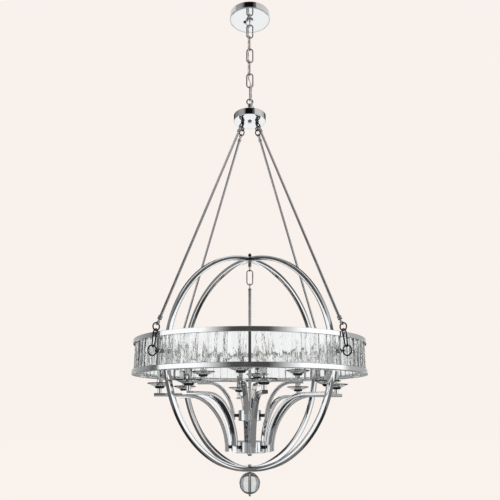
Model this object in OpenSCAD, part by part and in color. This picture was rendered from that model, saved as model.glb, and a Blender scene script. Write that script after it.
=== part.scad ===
// Hanging chandelier: a drum of clear crystal bars round two crossed hoops, carried by
// four rods from a hub on a chain, with a two-tier candelabra hanging inside the hoops.
// Millimetres, +Z up. The origin is on the ceiling, above the middle of the canopy.
// Azimuth 0 is the front, towards -Y, and azimuth 90 is the right, towards +X.

/* [Ceiling] */
// Outside diameter of the ceiling canopy
canopy_d = 166; // [130:1:200]
// Height of the canopy's wall
canopy_h = 28; // [22:1:40]
// Thickness of the canopy's sheet metal
canopy_wall = 1.5; // [1:0.1:2.5]
// Length of the mounting strap
strap_l = 112; // [106:1:125]
// Width of the mounting strap
strap_w = 22; // [18:1:30]
// Thickness of the mounting strap
strap_t = 2.5; // [2:0.1:4]
// Distance between the strap's two slots
slot_spacing = 88.9; // [84:0.1:96]
// End-to-end length of each slot
slot_l = 12; // [8:0.5:14]
// Width of each slot
slot_w = 4.8; // [4.2:0.1:5.5]
// Outside diameter of the hollow threaded nipple
nipple_d = 9.6; // [9:0.1:13]
// Outside diameter of the collar under the canopy
collar_d = 30; // [22:1:32]
// Thickness of the collar under the canopy
collar_h = 6; // [4:0.5:9]

/* [Chain] */
// Wire diameter of the chain and its two end loops
chain_wire = 5.4; // [4.5:0.1:5.6]
// Width of a chain link over its wire
link_w = 30; // [28:0.5:34]
// Length of a chain link over its wire
link_l = 68.9; // [60:0.1:80]
// Radius of the end loops, at the middle of the wire
loop_r = 12; // [11.5:0.5:14]
// Drop from the canopy's underside to the middle of its loop
loop_drop = 16; // [16:1:24]
// Rise from the top of the hub to the middle of its loop
hub_loop_rise = 60; // [45:1:80]
// Diameter of the electric cord
cord_d = 5; // [4:0.1:5.2]

/* [Hub and rods] */
// Diameter of the round hub
hub_d = 126; // [110:1:150]
// Height of the hub
hub_h = 28; // [24:1:40]
// Thickness of the hub's sheet metal
hub_wall = 2; // [1.5:0.1:3]
// Radius of the circle of four eyes under the hub
eye_circle_r = 40; // [34:1:46]
// Drop from the hub's cover to the middle of an eye
eye_drop = 19; // [16:1:26]
// Height of the hub's underside above the middle of the drum
hub_rise = 928; // [700:1:1100]
// Diameter of the four rods
rod_d = 9; // [7:0.5:12]
// Wire diameter of the rings, eyes and links at the rods' ends
ring_wire = 4.5; // [3.5:0.1:5]
// Radius of an eye at a rod's end, at the middle of its wire
eye_r = 6.5; // [6:0.1:8]
// Radius of the rings at the rods' ends, at the middle of the wire
ring_r = 12; // [11:0.5:15]
// Radius of the ring at the outer end of a stud, at the middle of the wire
stud_ring_r = 15.7; // [14:0.1:18]
// Distance from the drum's outside to the middle of a stud's ring
stud_reach = 11.8; // [11.5:0.1:20]
// Distance between the two end arcs' middle points of a pear-shaped link, at the wire's middle
pear_l = 56; // [45:1:75]
// Upper, larger end radius of a pear-shaped link, at the middle of the wire
pear_big_r = 10; // [8.5:0.1:12]
// Lower, smaller end radius of a pear-shaped link, at the middle of the wire
pear_small_r = 6.5; // [6.5:0.1:8]
// Inward lean of a pear-shaped link, in degrees
pear_lean = 8.4; // [0:0.1:15]

/* [Hoops and drum] */
// Outside diameter of the crystal drum
drum_d = 813; // [700:1:950]
// Height of the crystal drum over both bands
drum_h = 117; // [100:1:160]
// Height of each chrome band of the drum
band_h = 15.6; // [12:0.1:22]
// Thickness of the bands' outer wall
band_wall = 2.5; // [2:0.1:4]
// Thickness of the bands' flange
band_flange = 2.5; // [2:0.1:4]
// Height of the bands' inner lip
lip_h = 8; // [5:0.5:12]
// Thickness of the bands' inner lip
lip_t = 2; // [1.5:0.1:3]
// Thickness of the crystal bars
crystal_t = 14; // [12:0.5:16]
// Distance from the bands' outer wall in to the crystal bars
crystal_setback = 4; // [3:0.1:6]
// Crystal bars between two posts
crystals_per_bay = 10; // [8:1:12]
// Width of the eight posts
post_w = 8; // [7:0.5:12]
// Gap between the bands' inner lip and the hoops
hoop_gap = 12.7; // [8:0.1:20]
// Side of the hoops' square bar
hoop_bar = 16; // [12:0.5:20]
// Diameter of the threaded part of the hoop studs
stud_d = 5; // [4:0.1:6]
// Diameter of the collars that the hoop studs pass through
stud_collar_d = 16; // [12:0.5:18]

/* [Crown and stem] */
// Diameter of the crown loop's shank under the hoops
crown_shank_d = 12; // [10:0.5:14]
// Length of the crown loop's shank
crown_shank_l = 20; // [15:1:30]
// Radius of the crown loop and the stem loop, at the middle of the wire
crown_loop_r = 8.5; // [8:0.1:11]
// Wire diameter of the crown link and its two loops
crown_wire = 4.2; // [3.5:0.1:4.5]
// Width of the crown link over its wire
crown_link_w = 25.4; // [24:0.1:30]
// Length of the crown link over its wire
crown_link_l = 60; // [50:0.5:75]
// Diameter of the candelabra's stem
stem_d = 10.5; // [9:0.1:13]
// Length of the candelabra's stem
stem_l = 563; // [540:1:575]
// Diameter of the headed pin on which the candelabra turns
swivel_pin_d = 5; // [4.5:0.1:5.5]

/* [Candelabra] */
// Diameter of the upper arm hub
upper_hub_d = 77.6; // [60:0.1:90]
// Diameter of the lower arm hub
lower_hub_d = 117; // [100:1:130]
// Height of both arm hubs
arm_hub_h = 36; // [28:1:45]
// Thickness of the arm hubs' walls
arm_hub_wall = 3; // [2:0.1:4]
// Distance between the middles of the two arm hubs
hub_spacing = 102; // [90:1:120]
// Number of lower arms
lower_arm_count = 8; // [6:2:8]
// Number of upper arms
upper_arm_count = 4; // [3:1:4]
// Azimuth of the first lower arm, in degrees
lower_arm_turn = 7.8; // [5:0.1:22.5]
// Azimuth of the first upper arm, in degrees
upper_arm_turn = -9.9; // [-22.5:0.1:0]
// Thickness of the arms' flat bar
arm_t = 11; // [8:0.5:14]
// Width of the arms' flat bar
arm_w = 18; // [14:0.5:24]
// Length of the spacers between hubs and arms
spacer_l = 13.7; // [8:0.1:20]
// Diameter of the spacers between hubs and arms
spacer_d = 11; // [8:0.5:14]
// Outward run of a lower arm's curve
lower_run = 147; // [120:1:160]
// Rise of a lower arm's curve
lower_rise = 178.5; // [165:0.5:200]
// Radius of the circle of lower candles
lower_candle_r = 310; // [290:1:312]
// Outward run of an upper arm's curve
upper_run = 92; // [70:1:100]
// Rise of an upper arm's curve
upper_rise = 120; // [102:0.5:125]
// Radius of the circle of upper candles
upper_candle_r = 168; // [160:1:200]
// Length of arm beyond its candle
arm_tail = 18; // [12:0.5:30]

/* [Candles] */
// Visible length of the thin stub under a drip cup
stub_l = 15; // [8:0.5:25]
// Diameter of the thin stub
stub_d = 6; // [5:0.1:8]
// Diameter of the tube round the stub, between the arm and the drip cup
stub_tube_d = 14; // [10:0.5:16]
// Diameter of the metal drip cup
cup_d = 34; // [33:0.1:40]
// Diameter of the glass saucer
saucer_d = 86; // [70:1:86]
// Rise of the glass saucer's rim over its base
saucer_rise = 10.5; // [8:0.5:20]
// Thickness of the glass saucer
saucer_t = 2.5; // [2:0.1:4]
// Outside diameter of the candle sleeve
sleeve_d = 21; // [20:0.5:26]
// Length of the candle sleeve
sleeve_l = 47; // [40:1:60]
// Wall of the candle sleeve
sleeve_wall = 1; // [0.8:0.1:1.5]
// Largest diameter of the bulb
bulb_d = 32; // [26:1:35]
// Length of the bulb's glass over the sleeve
bulb_l = 76; // [50:1:78]

/* [Ball finial] */
// Diameter of the glass ball
ball_d = 69.5; // [50:0.5:90]
// Diameter of the rod through the ball
ball_rod_d = 6.2; // [5:0.1:8]
// Length of the tip under the ball
ball_tip_l = 6; // [5:0.5:15]

/* [Hidden] */
$fn = 48;

// Colours
CHROME = [0.78, 0.79, 0.80];
DARK_CHROME = [0.45, 0.46, 0.48];
ZINC = [0.62, 0.62, 0.60];
CRYSTAL = [0.90, 0.93, 0.95, 0.6];
CORD = [0.80, 0.80, 0.78, 0.8];
NYLON = [0.15, 0.15, 0.15];
BULB = [0.97, 0.96, 0.92, 0.7];

// Clearances
seat = 0.3;          // between a loose piece and what carries it
fit = 0.2;           // round a piece that is fixed in its hole or channel
running = 0.05;      // radial gap of the swivel pin
eps = 0.01;          // lets a cut run past a face

// Turns that the copies stand at
QUARTERS = [-45, 45, -135, 135];
EIGHTHS = [for (i = [0:7]) i * 45];

// Nuts and small fasteners
nut_t = 5;
nut_d = 17;
small_nut_t = 3.2;
small_nut_d = 8.1;
stud_nut_t = 4;
stud_nut_d = 9.2;
stud_spacer_d = 13;
stud_ball_d = 8;
pin_d = 3.5;
pin_l = 14;

// Heights of the ceiling group and the chain
canopy_floor_z = -canopy_h;
canopy_loop_z = canopy_floor_z - loop_drop;
loop_boss_d = nipple_d + 6;
loop_floor = 3;                                      // metal left under the nipple's end
nipple_end_z = canopy_loop_z + loop_r;
link_count = 6;
bow = chain_wire + seat;                             // from one bow's wire to the next one's
link_span = link_l - chain_wire;                     // between the middles of a link's two bows
link_pitch = link_span - bow;
function joint_z(i) = canopy_loop_z - loop_r - i * link_pitch;
hub_loop_z = joint_z(link_count) + bow - loop_r;
hub_top_z = hub_loop_z - hub_loop_rise;
hub_floor_z = hub_top_z - hub_h;
drum_z = hub_floor_z - hub_rise;

// Radii of the drum and hoops
drum_r = drum_d / 2;
crystal_out_r = drum_r - band_wall - crystal_setback;
crystal_in_r = crystal_out_r - crystal_t;
band_in_r = crystal_in_r - seat - lip_t;
hoop_out_r = band_in_r - hoop_gap;
hoop_r = hoop_out_r - hoop_bar / 2;
hoop_in_r = hoop_out_r - hoop_bar;
post_in_r = crystal_in_r;
post_out_r = crystal_out_r - 1;
post_r = (post_in_r + post_out_r) / 2;
post_h = drum_h - 2 * band_flange - 2 * fit;

// Line of a rod's fittings in the upright plane of its azimuth: [radius, height]
stud_ring_c = [drum_r + stud_reach, drum_z];
ring_bow = ring_wire + seat;
pear_step = stud_ring_r - ring_bow;
pear_dir = [-sin(pear_lean), cos(pear_lean)];
pear_low = stud_ring_c + pear_step * pear_dir;
ring_low_c = pear_low + (pear_l - ring_bow + ring_r) * pear_dir;
hub_cover_z = hub_floor_z + fit;
hub_eye_c = [eye_circle_r, hub_cover_z - eye_drop];
rod_vec = hub_eye_c - ring_low_c;
rod_full = norm(rod_vec);
rod_lean = atan2(-rod_vec[0], rod_vec[1]);
eye_step = ring_r - ring_bow + eye_r;                // from a ring's middle to the next eye's middle
rod_l = rod_full - 3 * eye_step;                     // between the middles of a rod's two eyes

// Crown, link and stem
crown_loop_z = drum_z + hoop_in_r - crown_shank_l - crown_loop_r;
crown_bow = crown_wire + seat;
crown_link_top_z = crown_loop_z - crown_loop_r + crown_bow;
crown_link_low_z = crown_link_top_z - (crown_link_l - crown_wire);
stem_loop_z = crown_link_low_z + crown_bow - crown_loop_r;
stem_collar_h = 6;
stem_collar_z = stem_loop_z - crown_loop_r - crown_wire / 2 - stem_collar_h + 1;
swivel_neck_l = 10;
swivel_head_d = 7.6;
swivel_head_h = 3;
stem_top_z = stem_collar_z - seat;
stem_low_z = stem_top_z - stem_l;
stem_nut_h = 11;
stem_nut_d = 18;
lower_hub_z = stem_low_z + stem_nut_h / 2 + arm_hub_h / 2;
upper_hub_z = lower_hub_z + hub_spacing;

// Arms: two tangent arcs, each an eighth of a turn, then a level run
function arc_diff(run, rise) = (rise - run) / (sin(45) + cos(45) - 1);
function small_arc(run, rise) = run - arc_diff(run, rise) * (1 - cos(45));
function big_arc(run, rise) = small_arc(run, rise) + arc_diff(run, rise);
arm_foot = 6;
weld = 0.05;                                         // a weld stands this far over the bar
weld_l = 0.6;
pin_over_foot = 15;
function arm_start_r(hub_d) = hub_d / 2 + spacer_l + arm_t / 2;
lower_arm_z = lower_hub_z - pin_over_foot;
upper_arm_z = upper_hub_z - pin_over_foot;
lower_level_z = lower_arm_z + arm_foot + lower_rise;
upper_level_z = upper_arm_z + arm_foot + upper_rise;
lower_turns = [for (i = [0:lower_arm_count - 1]) lower_arm_turn + i * 360 / lower_arm_count];
upper_turns = [for (i = [0:upper_arm_count - 1]) upper_arm_turn + i * 360 / upper_arm_count];

// Candle heights above the underside of the drip cup
cup_h = 6;
cup_boss_h = 5.9;
saucer_z = cup_boss_h + seat;
sleeve_seat_z = saucer_z + saucer_t + seat;
sleeve_seat_h = 7;
sleeve_seat_d = sleeve_d + 9;
sleeve_z = sleeve_seat_z + sleeve_seat_h + seat;
socket_wall = 3;
socket_d = sleeve_d - 2 * sleeve_wall - 2 * seat;
socket_h = sleeve_l - 6;
bulb_cap_d = socket_d - 2 * socket_wall - 2 * seat;
bulb_z = sleeve_z + sleeve_l;

// Ball under the hoops' lower crossing
ball_washer_h = 2;
ball_z = drum_z - hoop_out_r - ball_washer_h - ball_d / 2;
rod_nut_h = 5;

// Cord: where it stands off the chain's axis at the canopy, at each joint and at the hub
cord_off = chain_wire / 2 + cord_d / 2 + 0.8;
CORD_SIDES = [[-3.4, 1.7], [-1, 1], [-1, -1], [-1, -1], [-1, 1], [-1, 1], [1, -1], [1, -1], [3.4, -1.7]];
cord_facets = 10;
cord_steps = 5;
bushing_d = 10;
bushing_flange_d = 13;
bushing_flange_h = 2;
cord_room = 0.35;      // between the cord and a bushing
cord_end_in = 9;
cord_stops = link_count + 2;
function cord_stop(i) = CORD_SIDES[i] * cord_off;
function cord_stop_z(i) = i == 0 ? canopy_floor_z
  : i <= link_count + 1 ? joint_z(i - 1) : hub_top_z;
function ease(t) = t * t * (3 - 2 * t);
function cord_mid(s) = let (i = min(floor(s), cord_stops - 1), t = s - i)
  concat(cord_stop(i) * (1 - ease(t)) + cord_stop(i + 1) * ease(t),
    [cord_stop_z(i) * (1 - t) + cord_stop_z(i + 1) * t]);
CORD_ROUTE = concat(
  [concat(cord_stop(0), [canopy_floor_z + cord_end_in])],
  [for (k = [0:cord_stops * cord_steps]) cord_mid(k / cord_steps)],
  [concat(cord_stop(cord_stops), [hub_top_z - cord_end_in])]);

// Building blocks

// Puts its children at an azimuth, a radius and a height, leaning inwards as they rise
module place(turn, r, z, lean = 0) {
  rotate([0, 0, turn]) translate([0, -r, z]) rotate([-lean, 0, 0]) children();
}

// A ring of round wire, standing in the XZ plane, centred on the origin
module wire_ring(r, wire) {
  rotate([90, 0, 0]) rotate_extrude() translate([r, 0]) circle(d = wire, $fn = 24);
}

// An arc of round wire in the XY plane
module wire_arc(r, wire, from, turn) {
  rotate([0, 0, from]) rotate_extrude(angle = turn) translate([r, 0]) circle(d = wire, $fn = 24);
}

// An oval link in the XZ plane, from its lower bow at the origin up to its upper bow
module oval_link(w, l, wire) {
  r = (w - wire) / 2;
  span = l - wire;
  rotate([90, 0, 0]) {
    translate([0, r, 0]) wire_arc(r, wire, 180, 180);
    translate([0, span - r, 0]) wire_arc(r, wire, 0, 180);
  }
  for (side = [-1, 1]) translate([side * r, 0, r]) cylinder(d = wire, h = span - 2 * r, $fn = 24);
}

// A hexagonal nut round a bore
module hex_nut(d, h, bore) {
  difference() {
    cylinder(d = d, h = h, $fn = 6);
    translate([0, 0, -1]) cylinder(d = bore, h = h + 2);
  }
}

// Ceiling group

module ceiling_strap() {
  color(ZINC) difference() {
    translate([-strap_l / 2, -strap_w / 2, -strap_t]) cube([strap_l, strap_w, strap_t]);
    translate([0, 0, -strap_t - 1]) cylinder(d = nipple_d + 2 * running, h = strap_t + 2);
    for (side = [-1, 1]) translate([side * slot_spacing / 2, 0, -strap_t - 1]) slot_cutter();
  }
}

module slot_cutter() {
  straight = slot_l - slot_w;
  for (side = [-1, 1]) translate([side * straight / 2, 0, 0]) cylinder(d = slot_w, h = strap_t + 2);
  translate([-straight / 2, -slot_w / 2, 0]) cube([straight, slot_w, strap_t + 2]);
}

module nipple() {
  color(ZINC) translate([0, 0, nipple_end_z + seat]) difference() {
    cylinder(d = nipple_d, h = -nipple_end_z - seat - 0.5);
    translate([0, 0, -1]) cylinder(d = nipple_d - 3, h = -nipple_end_z + 2);
  }
}

module strap_locknut() {
  color(ZINC) translate([0, 0, -strap_t - fit - nut_t]) hex_nut(nut_d, nut_t, nipple_d + 2 * running);
}

module canopy() {
  color(CHROME) difference() {
    translate([0, 0, -canopy_h]) cylinder(d = canopy_d, h = canopy_h, $fn = 120);
    translate([0, 0, canopy_wall - canopy_h])
      cylinder(d = canopy_d - 2 * canopy_wall, h = canopy_h, $fn = 120);
    translate([0, 0, -canopy_h - 1]) cylinder(d = nipple_d + 2 * fit, h = canopy_wall + 2);
    translate(concat(cord_stop(0), [-canopy_h - 1]))
      cylinder(d = bushing_d + 2 * running, h = canopy_wall + 2);
  }
}

module canopy_collar() {
  low = canopy_floor_z - fit - collar_h;
  color(CHROME) difference() {
    union() {
      translate([0, 0, low + collar_h * 0.4]) cylinder(d = collar_d, h = collar_h * 0.6);
      translate([0, 0, low]) cylinder(d = collar_d - 3, h = collar_h * 0.4 + eps);
    }
    translate([0, 0, low - 1]) cylinder(d = loop_boss_d + 2 * fit, h = collar_h + 2);
    translate([0, 0, canopy_loop_z]) rotate([0, 0, 90]) wire_ring(loop_r, chain_wire + 2 * fit);
  }
}

module canopy_loop() {
  boss_top = canopy_floor_z - fit;
  boss_low = nipple_end_z - loop_floor;
  color(CHROME) difference() {
    union() {
      translate([0, 0, canopy_loop_z]) rotate([0, 0, 90]) wire_ring(loop_r, chain_wire);
      translate([0, 0, boss_low]) cylinder(d = loop_boss_d, h = boss_top - boss_low);
    }
    translate([0, 0, nipple_end_z]) cylinder(d = nipple_d + 2 * running, h = 30);
  }
}

module bushing() {
  difference() {
    union() {
      cylinder(d = bushing_d, h = bushing_flange_h + canopy_wall + 3);
      cylinder(d = bushing_flange_d, h = bushing_flange_h);
    }
    translate([0, 0, -1]) cylinder(d = cord_d + 2 * cord_room, h = 20);
  }
}

module canopy_bushing() {
  color(NYLON) translate(concat(cord_stop(0), [canopy_floor_z - fit - bushing_flange_h])) bushing();
}

module hub_bushing() {
  color(NYLON) translate(concat(cord_stop(cord_stops), [hub_top_z + fit + bushing_flange_h]))
    mirror([0, 0, 1]) bushing();
}

// A ring of points round one of the route's points, square to the route there
function unit(v) = v / norm(v);
function cord_ring(k) = let (last = len(CORD_ROUTE) - 1,
    along = unit(CORD_ROUTE[min(k + 1, last)] - CORD_ROUTE[max(k - 1, 0)]),
    u = unit(cross([0, 1, 0], along)), v = cross(along, u))
  [for (a = [0:cord_facets - 1]) let (turn = a * 360 / cord_facets)
    CORD_ROUTE[k] + (cos(turn) * u + sin(turn) * v) * cord_d / 2];

// One tube along the whole route
module power_cord() {
  count = len(CORD_ROUTE);
  points = [for (k = [0:count - 1]) for (p = cord_ring(k)) p];
  sides = [for (k = [0:count - 2]) for (a = [0:cord_facets - 1])
    let (b = (a + 1) % cord_facets, low = (k + 1) * cord_facets, high = k * cord_facets)
    [high + a, high + b, low + b, low + a]];
  top = [for (a = [0:cord_facets - 1]) cord_facets - 1 - a];
  bottom = [for (a = [0:cord_facets - 1]) (count - 1) * cord_facets + a];
  color(CORD) polyhedron(points, concat(sides, [top, bottom]), convexity = 4);
}

// Chain

module chain_link(i) {
  color(CHROME) translate([0, 0, joint_z(i)]) rotate([0, 0, i % 2 == 1 ? 0 : 90])
    oval_link(link_w, link_l, chain_wire);
}

// Hub

module hub_loop() {
  foot_z = hub_top_z + fit;
  color(CHROME) difference() {
    union() {
      translate([0, 0, hub_loop_z]) wire_ring(loop_r, chain_wire);
      translate([0, 0, foot_z]) cylinder(d = loop_boss_d, h = hub_loop_z - loop_r + 1 - foot_z);
      translate([0, 0, foot_z]) cylinder(d = 24, h = 8);
    }
    translate([0, 0, hub_top_z - 1]) cylinder(d = nipple_d + 2 * running, h = 15);
  }
}

module hub_housing() {
  color(CHROME) difference() {
    translate([0, 0, hub_floor_z]) cylinder(d = hub_d, h = hub_h, $fn = 96);
    translate([0, 0, hub_floor_z - hub_wall]) cylinder(d = hub_d - 2 * hub_wall, h = hub_h, $fn = 96);
    translate([0, 0, hub_top_z - hub_wall - 1]) cylinder(d = nipple_d + 2 * fit, h = hub_wall + 2);
    translate(concat(cord_stop(cord_stops), [hub_top_z - hub_wall - 1]))
      cylinder(d = bushing_d + 2 * running, h = hub_wall + 2);
  }
}

module hub_cover() {
  color(CHROME) difference() {
    translate([0, 0, hub_cover_z]) cylinder(d = hub_d - 2 * hub_wall - 2 * fit, h = hub_wall, $fn = 96);
    translate([0, 0, hub_cover_z - 1]) cylinder(d = nipple_d + 2 * fit, h = hub_wall + 2);
    for (turn = QUARTERS) place(turn, eye_circle_r, hub_cover_z - 1)
      cylinder(d = ring_wire + 2 * fit, h = hub_wall + 2);
  }
}

// The nipple inside the hub and the round cap under it, in one piece
module hub_cap_nut() {
  color(CHROME) {
    translate([0, 0, hub_cover_z - fit - 4]) cylinder(d = 16, h = 4);
    translate([0, 0, hub_cover_z - fit - 4]) cylinder(d = nipple_d, h = hub_h + 4 + 8);
    translate([0, 0, hub_cover_z - fit - 8]) cylinder(d1 = 7, d2 = 12, h = 4 + eps);
  }
}

module hub_eyes() {
  shank_top = hub_cover_z + hub_wall + 9;
  color(DARK_CHROME) for (turn = QUARTERS) place(turn, hub_eye_c[0], 0) {
    translate([0, 0, hub_eye_c[1]]) rotate([0, 0, 90]) wire_ring(eye_r, ring_wire);
    translate([0, 0, hub_eye_c[1] + eye_r]) cylinder(d = ring_wire, h = shank_top - hub_eye_c[1] - eye_r);
    translate([0, 0, hub_cover_z - fit - 3]) cylinder(d = 9, h = 3);
  }
}

module eye_locknuts() {
  color(ZINC) for (turn = QUARTERS) place(turn, eye_circle_r, hub_cover_z + hub_wall + fit)
    hex_nut(small_nut_d, small_nut_t, ring_wire + 2 * running);
}

// Rods and their fittings

// Distance from the lower ring's middle, up along the rod's line
module on_rod_line(turn, along) {
  place(turn, ring_low_c[0], ring_low_c[1], rod_lean) translate([0, 0, along]) children();
}

module rod_top_rings() {
  color(DARK_CHROME) for (turn = QUARTERS) on_rod_line(turn, rod_full - eye_step)
    wire_ring(ring_r, ring_wire);
}

// A straight rod between two eyes, with a stepped collar at each end
module rod(turn) {
  neck = eye_r + ring_wire / 2 + 3;
  low = eye_step;
  high = low + rod_l;
  color(CHROME) on_rod_line(turn, 0) {
    translate([0, 0, low]) rotate([0, 0, 0]) wire_ring(eye_r, ring_wire);
    translate([0, 0, low + eye_r]) cylinder(d = ring_wire, h = rod_l - 2 * eye_r);
    translate([0, 0, low + neck]) cylinder(d = rod_d, h = rod_l - 2 * neck);
    for (z = [low + neck + 1, low + neck + 8, high - neck - 12, high - neck - 5])
      translate([0, 0, z]) cylinder(d = rod_d + 5, h = 4);
    translate([0, 0, high]) rotate([0, 0, 90]) wire_ring(eye_r, ring_wire);
  }
}

module rod_bottom_rings() {
  color(DARK_CHROME) for (turn = QUARTERS) on_rod_line(turn, 0)
    rotate([0, 0, 90]) wire_ring(ring_r, ring_wire);
}

// A link that is wider at its upper end, in the XZ plane, its lower bow at the origin
module pear_link() {
  centres = pear_l - pear_big_r - pear_small_r;
  slope = asin((pear_big_r - pear_small_r) / centres);
  leg = centres * cos(slope);
  leg_in = 0.4;
  translate([0, 0, pear_l]) mirror([0, 0, 1]) {
    rotate([90, 0, 0]) {
      translate([0, pear_big_r, 0]) wire_arc(pear_big_r, ring_wire, 180 - slope, 180 + 2 * slope);
      translate([0, pear_big_r + centres, 0]) wire_arc(pear_small_r, ring_wire, slope, 180 - 2 * slope);
    }
    for (side = [-1, 1])
      translate([side * pear_big_r * cos(slope), 0, pear_big_r + pear_big_r * sin(slope)])
        rotate([0, -side * slope, 0]) translate([0, 0, -leg_in])
          cylinder(d = ring_wire - 0.04, h = leg + 2 * leg_in);
  }
}

module pear_links() {
  color(DARK_CHROME) for (turn = QUARTERS) place(turn, pear_low[0], pear_low[1], pear_lean) pear_link();
}

// A stud through hoop and post, with a ring and a ball at its outer end
module hoop_studs() {
  inner_end = hoop_in_r - stud_nut_t - 4;
  ring_side = stud_ring_c[0] - stud_ring_r;
  color(DARK_CHROME) for (turn = QUARTERS) {
    place(turn, stud_ring_c[0], drum_z) rotate([0, 0, 90]) wire_ring(stud_ring_r, ring_wire);
    place(turn, inner_end, drum_z) rotate([90, 0, 0]) cylinder(d = stud_d, h = ring_side - inner_end);
    place(turn, ring_side + 2, drum_z) sphere(d = stud_ball_d);
  }
}

module stud_nuts() {
  color(CHROME) for (turn = QUARTERS) place(turn, hoop_in_r - fit, drum_z) rotate([-90, 0, 0])
    hex_nut(stud_nut_d, stud_nut_t, stud_d + 2 * running);
}

module stud_spacers() {
  from = hoop_out_r + fit;
  to = post_in_r - fit;
  color(DARK_CHROME) for (turn = QUARTERS) place(turn, from, drum_z) rotate([90, 0, 0]) difference() {
    cylinder(d = stud_spacer_d, h = to - from);
    translate([0, 0, -1]) cylinder(d = stud_d + 2 * fit, h = to - from + 2);
  }
}

// Hoops and drum

// One hoop, with its stud holes, the bolt holes at its crossings and half its bar cut away there
module hoop(turn, keeps_outside) {
  slot = hoop_bar + 2 * fit;
  cut_in = keeps_outside ? hoop_in_r - 1 : hoop_r - fit / 2;
  cut_out = keeps_outside ? hoop_r + fit / 2 : hoop_out_r + 1;
  color(CHROME) translate([0, 0, drum_z]) rotate([0, 0, turn]) difference() {
    rotate([90, 0, 0]) cylinder(r = hoop_out_r, h = hoop_bar, center = true, $fn = 180);
    rotate([90, 0, 0]) cylinder(r = hoop_in_r, h = hoop_bar + 2, center = true, $fn = 180);
    for (up = [-1, 1]) translate([0, 0, up * (cut_in + cut_out) / 2])
      cube([slot, slot, cut_out - cut_in], center = true);
    cylinder(d = ball_rod_d + 2 * fit, h = 2 * hoop_out_r + 2, center = true);
    rotate([0, 90, 0]) cylinder(d = stud_d + 2 * fit, h = 2 * hoop_out_r + 2, center = true);
  }
}

module band(up) {
  wall_in = drum_r - band_wall;
  lip_out = band_in_r + lip_t;
  translate([0, 0, drum_z]) mirror([0, 0, up > 0 ? 0 : 1]) translate([0, 0, drum_h / 2 - band_h])
    difference() {
      rotate_extrude($fn = 180) polygon([
        [band_in_r, band_h - lip_h], [lip_out, band_h - lip_h], [lip_out, band_h - band_flange],
        [wall_in, band_h - band_flange], [wall_in, 0], [drum_r, 0], [drum_r, band_h], [band_in_r, band_h]]);
      for (turn = EIGHTHS) place(turn, post_r, 0) cylinder(d = pin_d + 2 * running, h = band_h + 1);
    }
}

// The posts at the hoops have a round collar at mid-height that the stud passes through
module drum_posts() {
  color(DARK_CHROME) for (i = [0:7]) place(EIGHTHS[i], post_r, drum_z) difference() {
    union() {
      cube([post_w, post_out_r - post_in_r, post_h], center = true);
      if (i % 2 == 1) rotate([90, 0, 0])
        cylinder(d = stud_collar_d, h = post_out_r - post_in_r, center = true);
    }
    for (up = [-1, 1]) translate([0, 0, up * post_h / 2])
      cylinder(d = pin_d + 2 * running, h = 2 * pin_l, center = true);
    if (i % 2 == 1) rotate([90, 0, 0]) cylinder(d = stud_d + 2 * fit, h = 2 * crystal_t, center = true);
  }
}

// Pins through the bands' flanges into the posts' ends, flush with the bands
module post_pins() {
  color(CHROME) for (turn = EIGHTHS) for (up = [0, 1]) place(turn, post_r, drum_z) mirror([0, 0, up])
    translate([0, 0, drum_h / 2 - pin_l]) cylinder(d = pin_d, h = pin_l);
}

// Crystal bars stand side by side between the posts, each a wedge of the ring
bay_turn = 45 - 2 * atan((post_w / 2 + seat) / crystal_in_r);
bar_turn = bay_turn / crystals_per_bay;
crystal_h = drum_h - 2 * band_flange - 2 * seat;
bar_gap = 0.6;
function bar_half(r) = r * tan(bar_turn / 2) - bar_gap / 2;

// One bar: bevelled front edges, bevelled ends and a slanting facet across its upper corner
module crystal_bar(slant) {
  bevel = 5;
  end_bevel = 7;
  out_half = bar_half(crystal_out_r);
  in_half = bar_half(crystal_in_r);
  difference() {
    translate([0, 0, -crystal_h / 2]) linear_extrude(crystal_h) polygon([
      [-in_half, -crystal_in_r], [-out_half, -crystal_out_r + bevel], [-out_half + bevel, -crystal_out_r],
      [out_half - bevel, -crystal_out_r], [out_half, -crystal_out_r + bevel], [in_half, -crystal_in_r]]);
    for (up = [-1, 1]) translate([0, -crystal_out_r, up * crystal_h / 2]) rotate([up * 25, 0, 0])
      cube([3 * out_half, 2 * crystal_t, 2 * end_bevel], center = true);
    translate([slant * out_half, -crystal_out_r, crystal_h * 0.27]) rotate([0, slant * 11, slant * 24])
      translate([slant * 5, -4, 0]) cube([16, 12, crystal_h * 0.8], center = true);
  }
}

module crystal_bars() {
  first = (45 - bay_turn) / 2 + bar_turn / 2;
  color(CRYSTAL) for (bay = [0:7]) for (k = [0:crystals_per_bay - 1])
    difference() {
      translate([0, 0, drum_z]) rotate([0, 0, bay * 45 + first + k * bar_turn])
        crystal_bar(k % 2 == 0 ? 1 : -1);
      if (k == 0 && bay % 2 == 1) stud_clearance(bay * 45);
      if (k == crystals_per_bay - 1 && bay % 2 == 0) stud_clearance(bay * 45 + 45);
    }
}

// Room for the collar of a post at a hoop
module stud_clearance(turn) {
  place(turn, post_r, drum_z) rotate([90, 0, 0])
    cylinder(d = stud_collar_d + 2 * seat, h = 3 * crystal_t, center = true);
}

// Crown and stem

module crown_nut() {
  cap_h = 15;
  bore = ball_rod_d + 2 * running;
  color(DARK_CHROME) translate([0, 0, drum_z + hoop_out_r + fit]) difference() {
    union() {
      cylinder(d = 12, h = cap_h - 5);
      translate([0, 0, cap_h - 5]) cylinder(d1 = 12, d2 = 6, h = 5);
    }
    translate([0, 0, -1]) cylinder(d = bore, h = cap_h - 4);
  }
}

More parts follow.
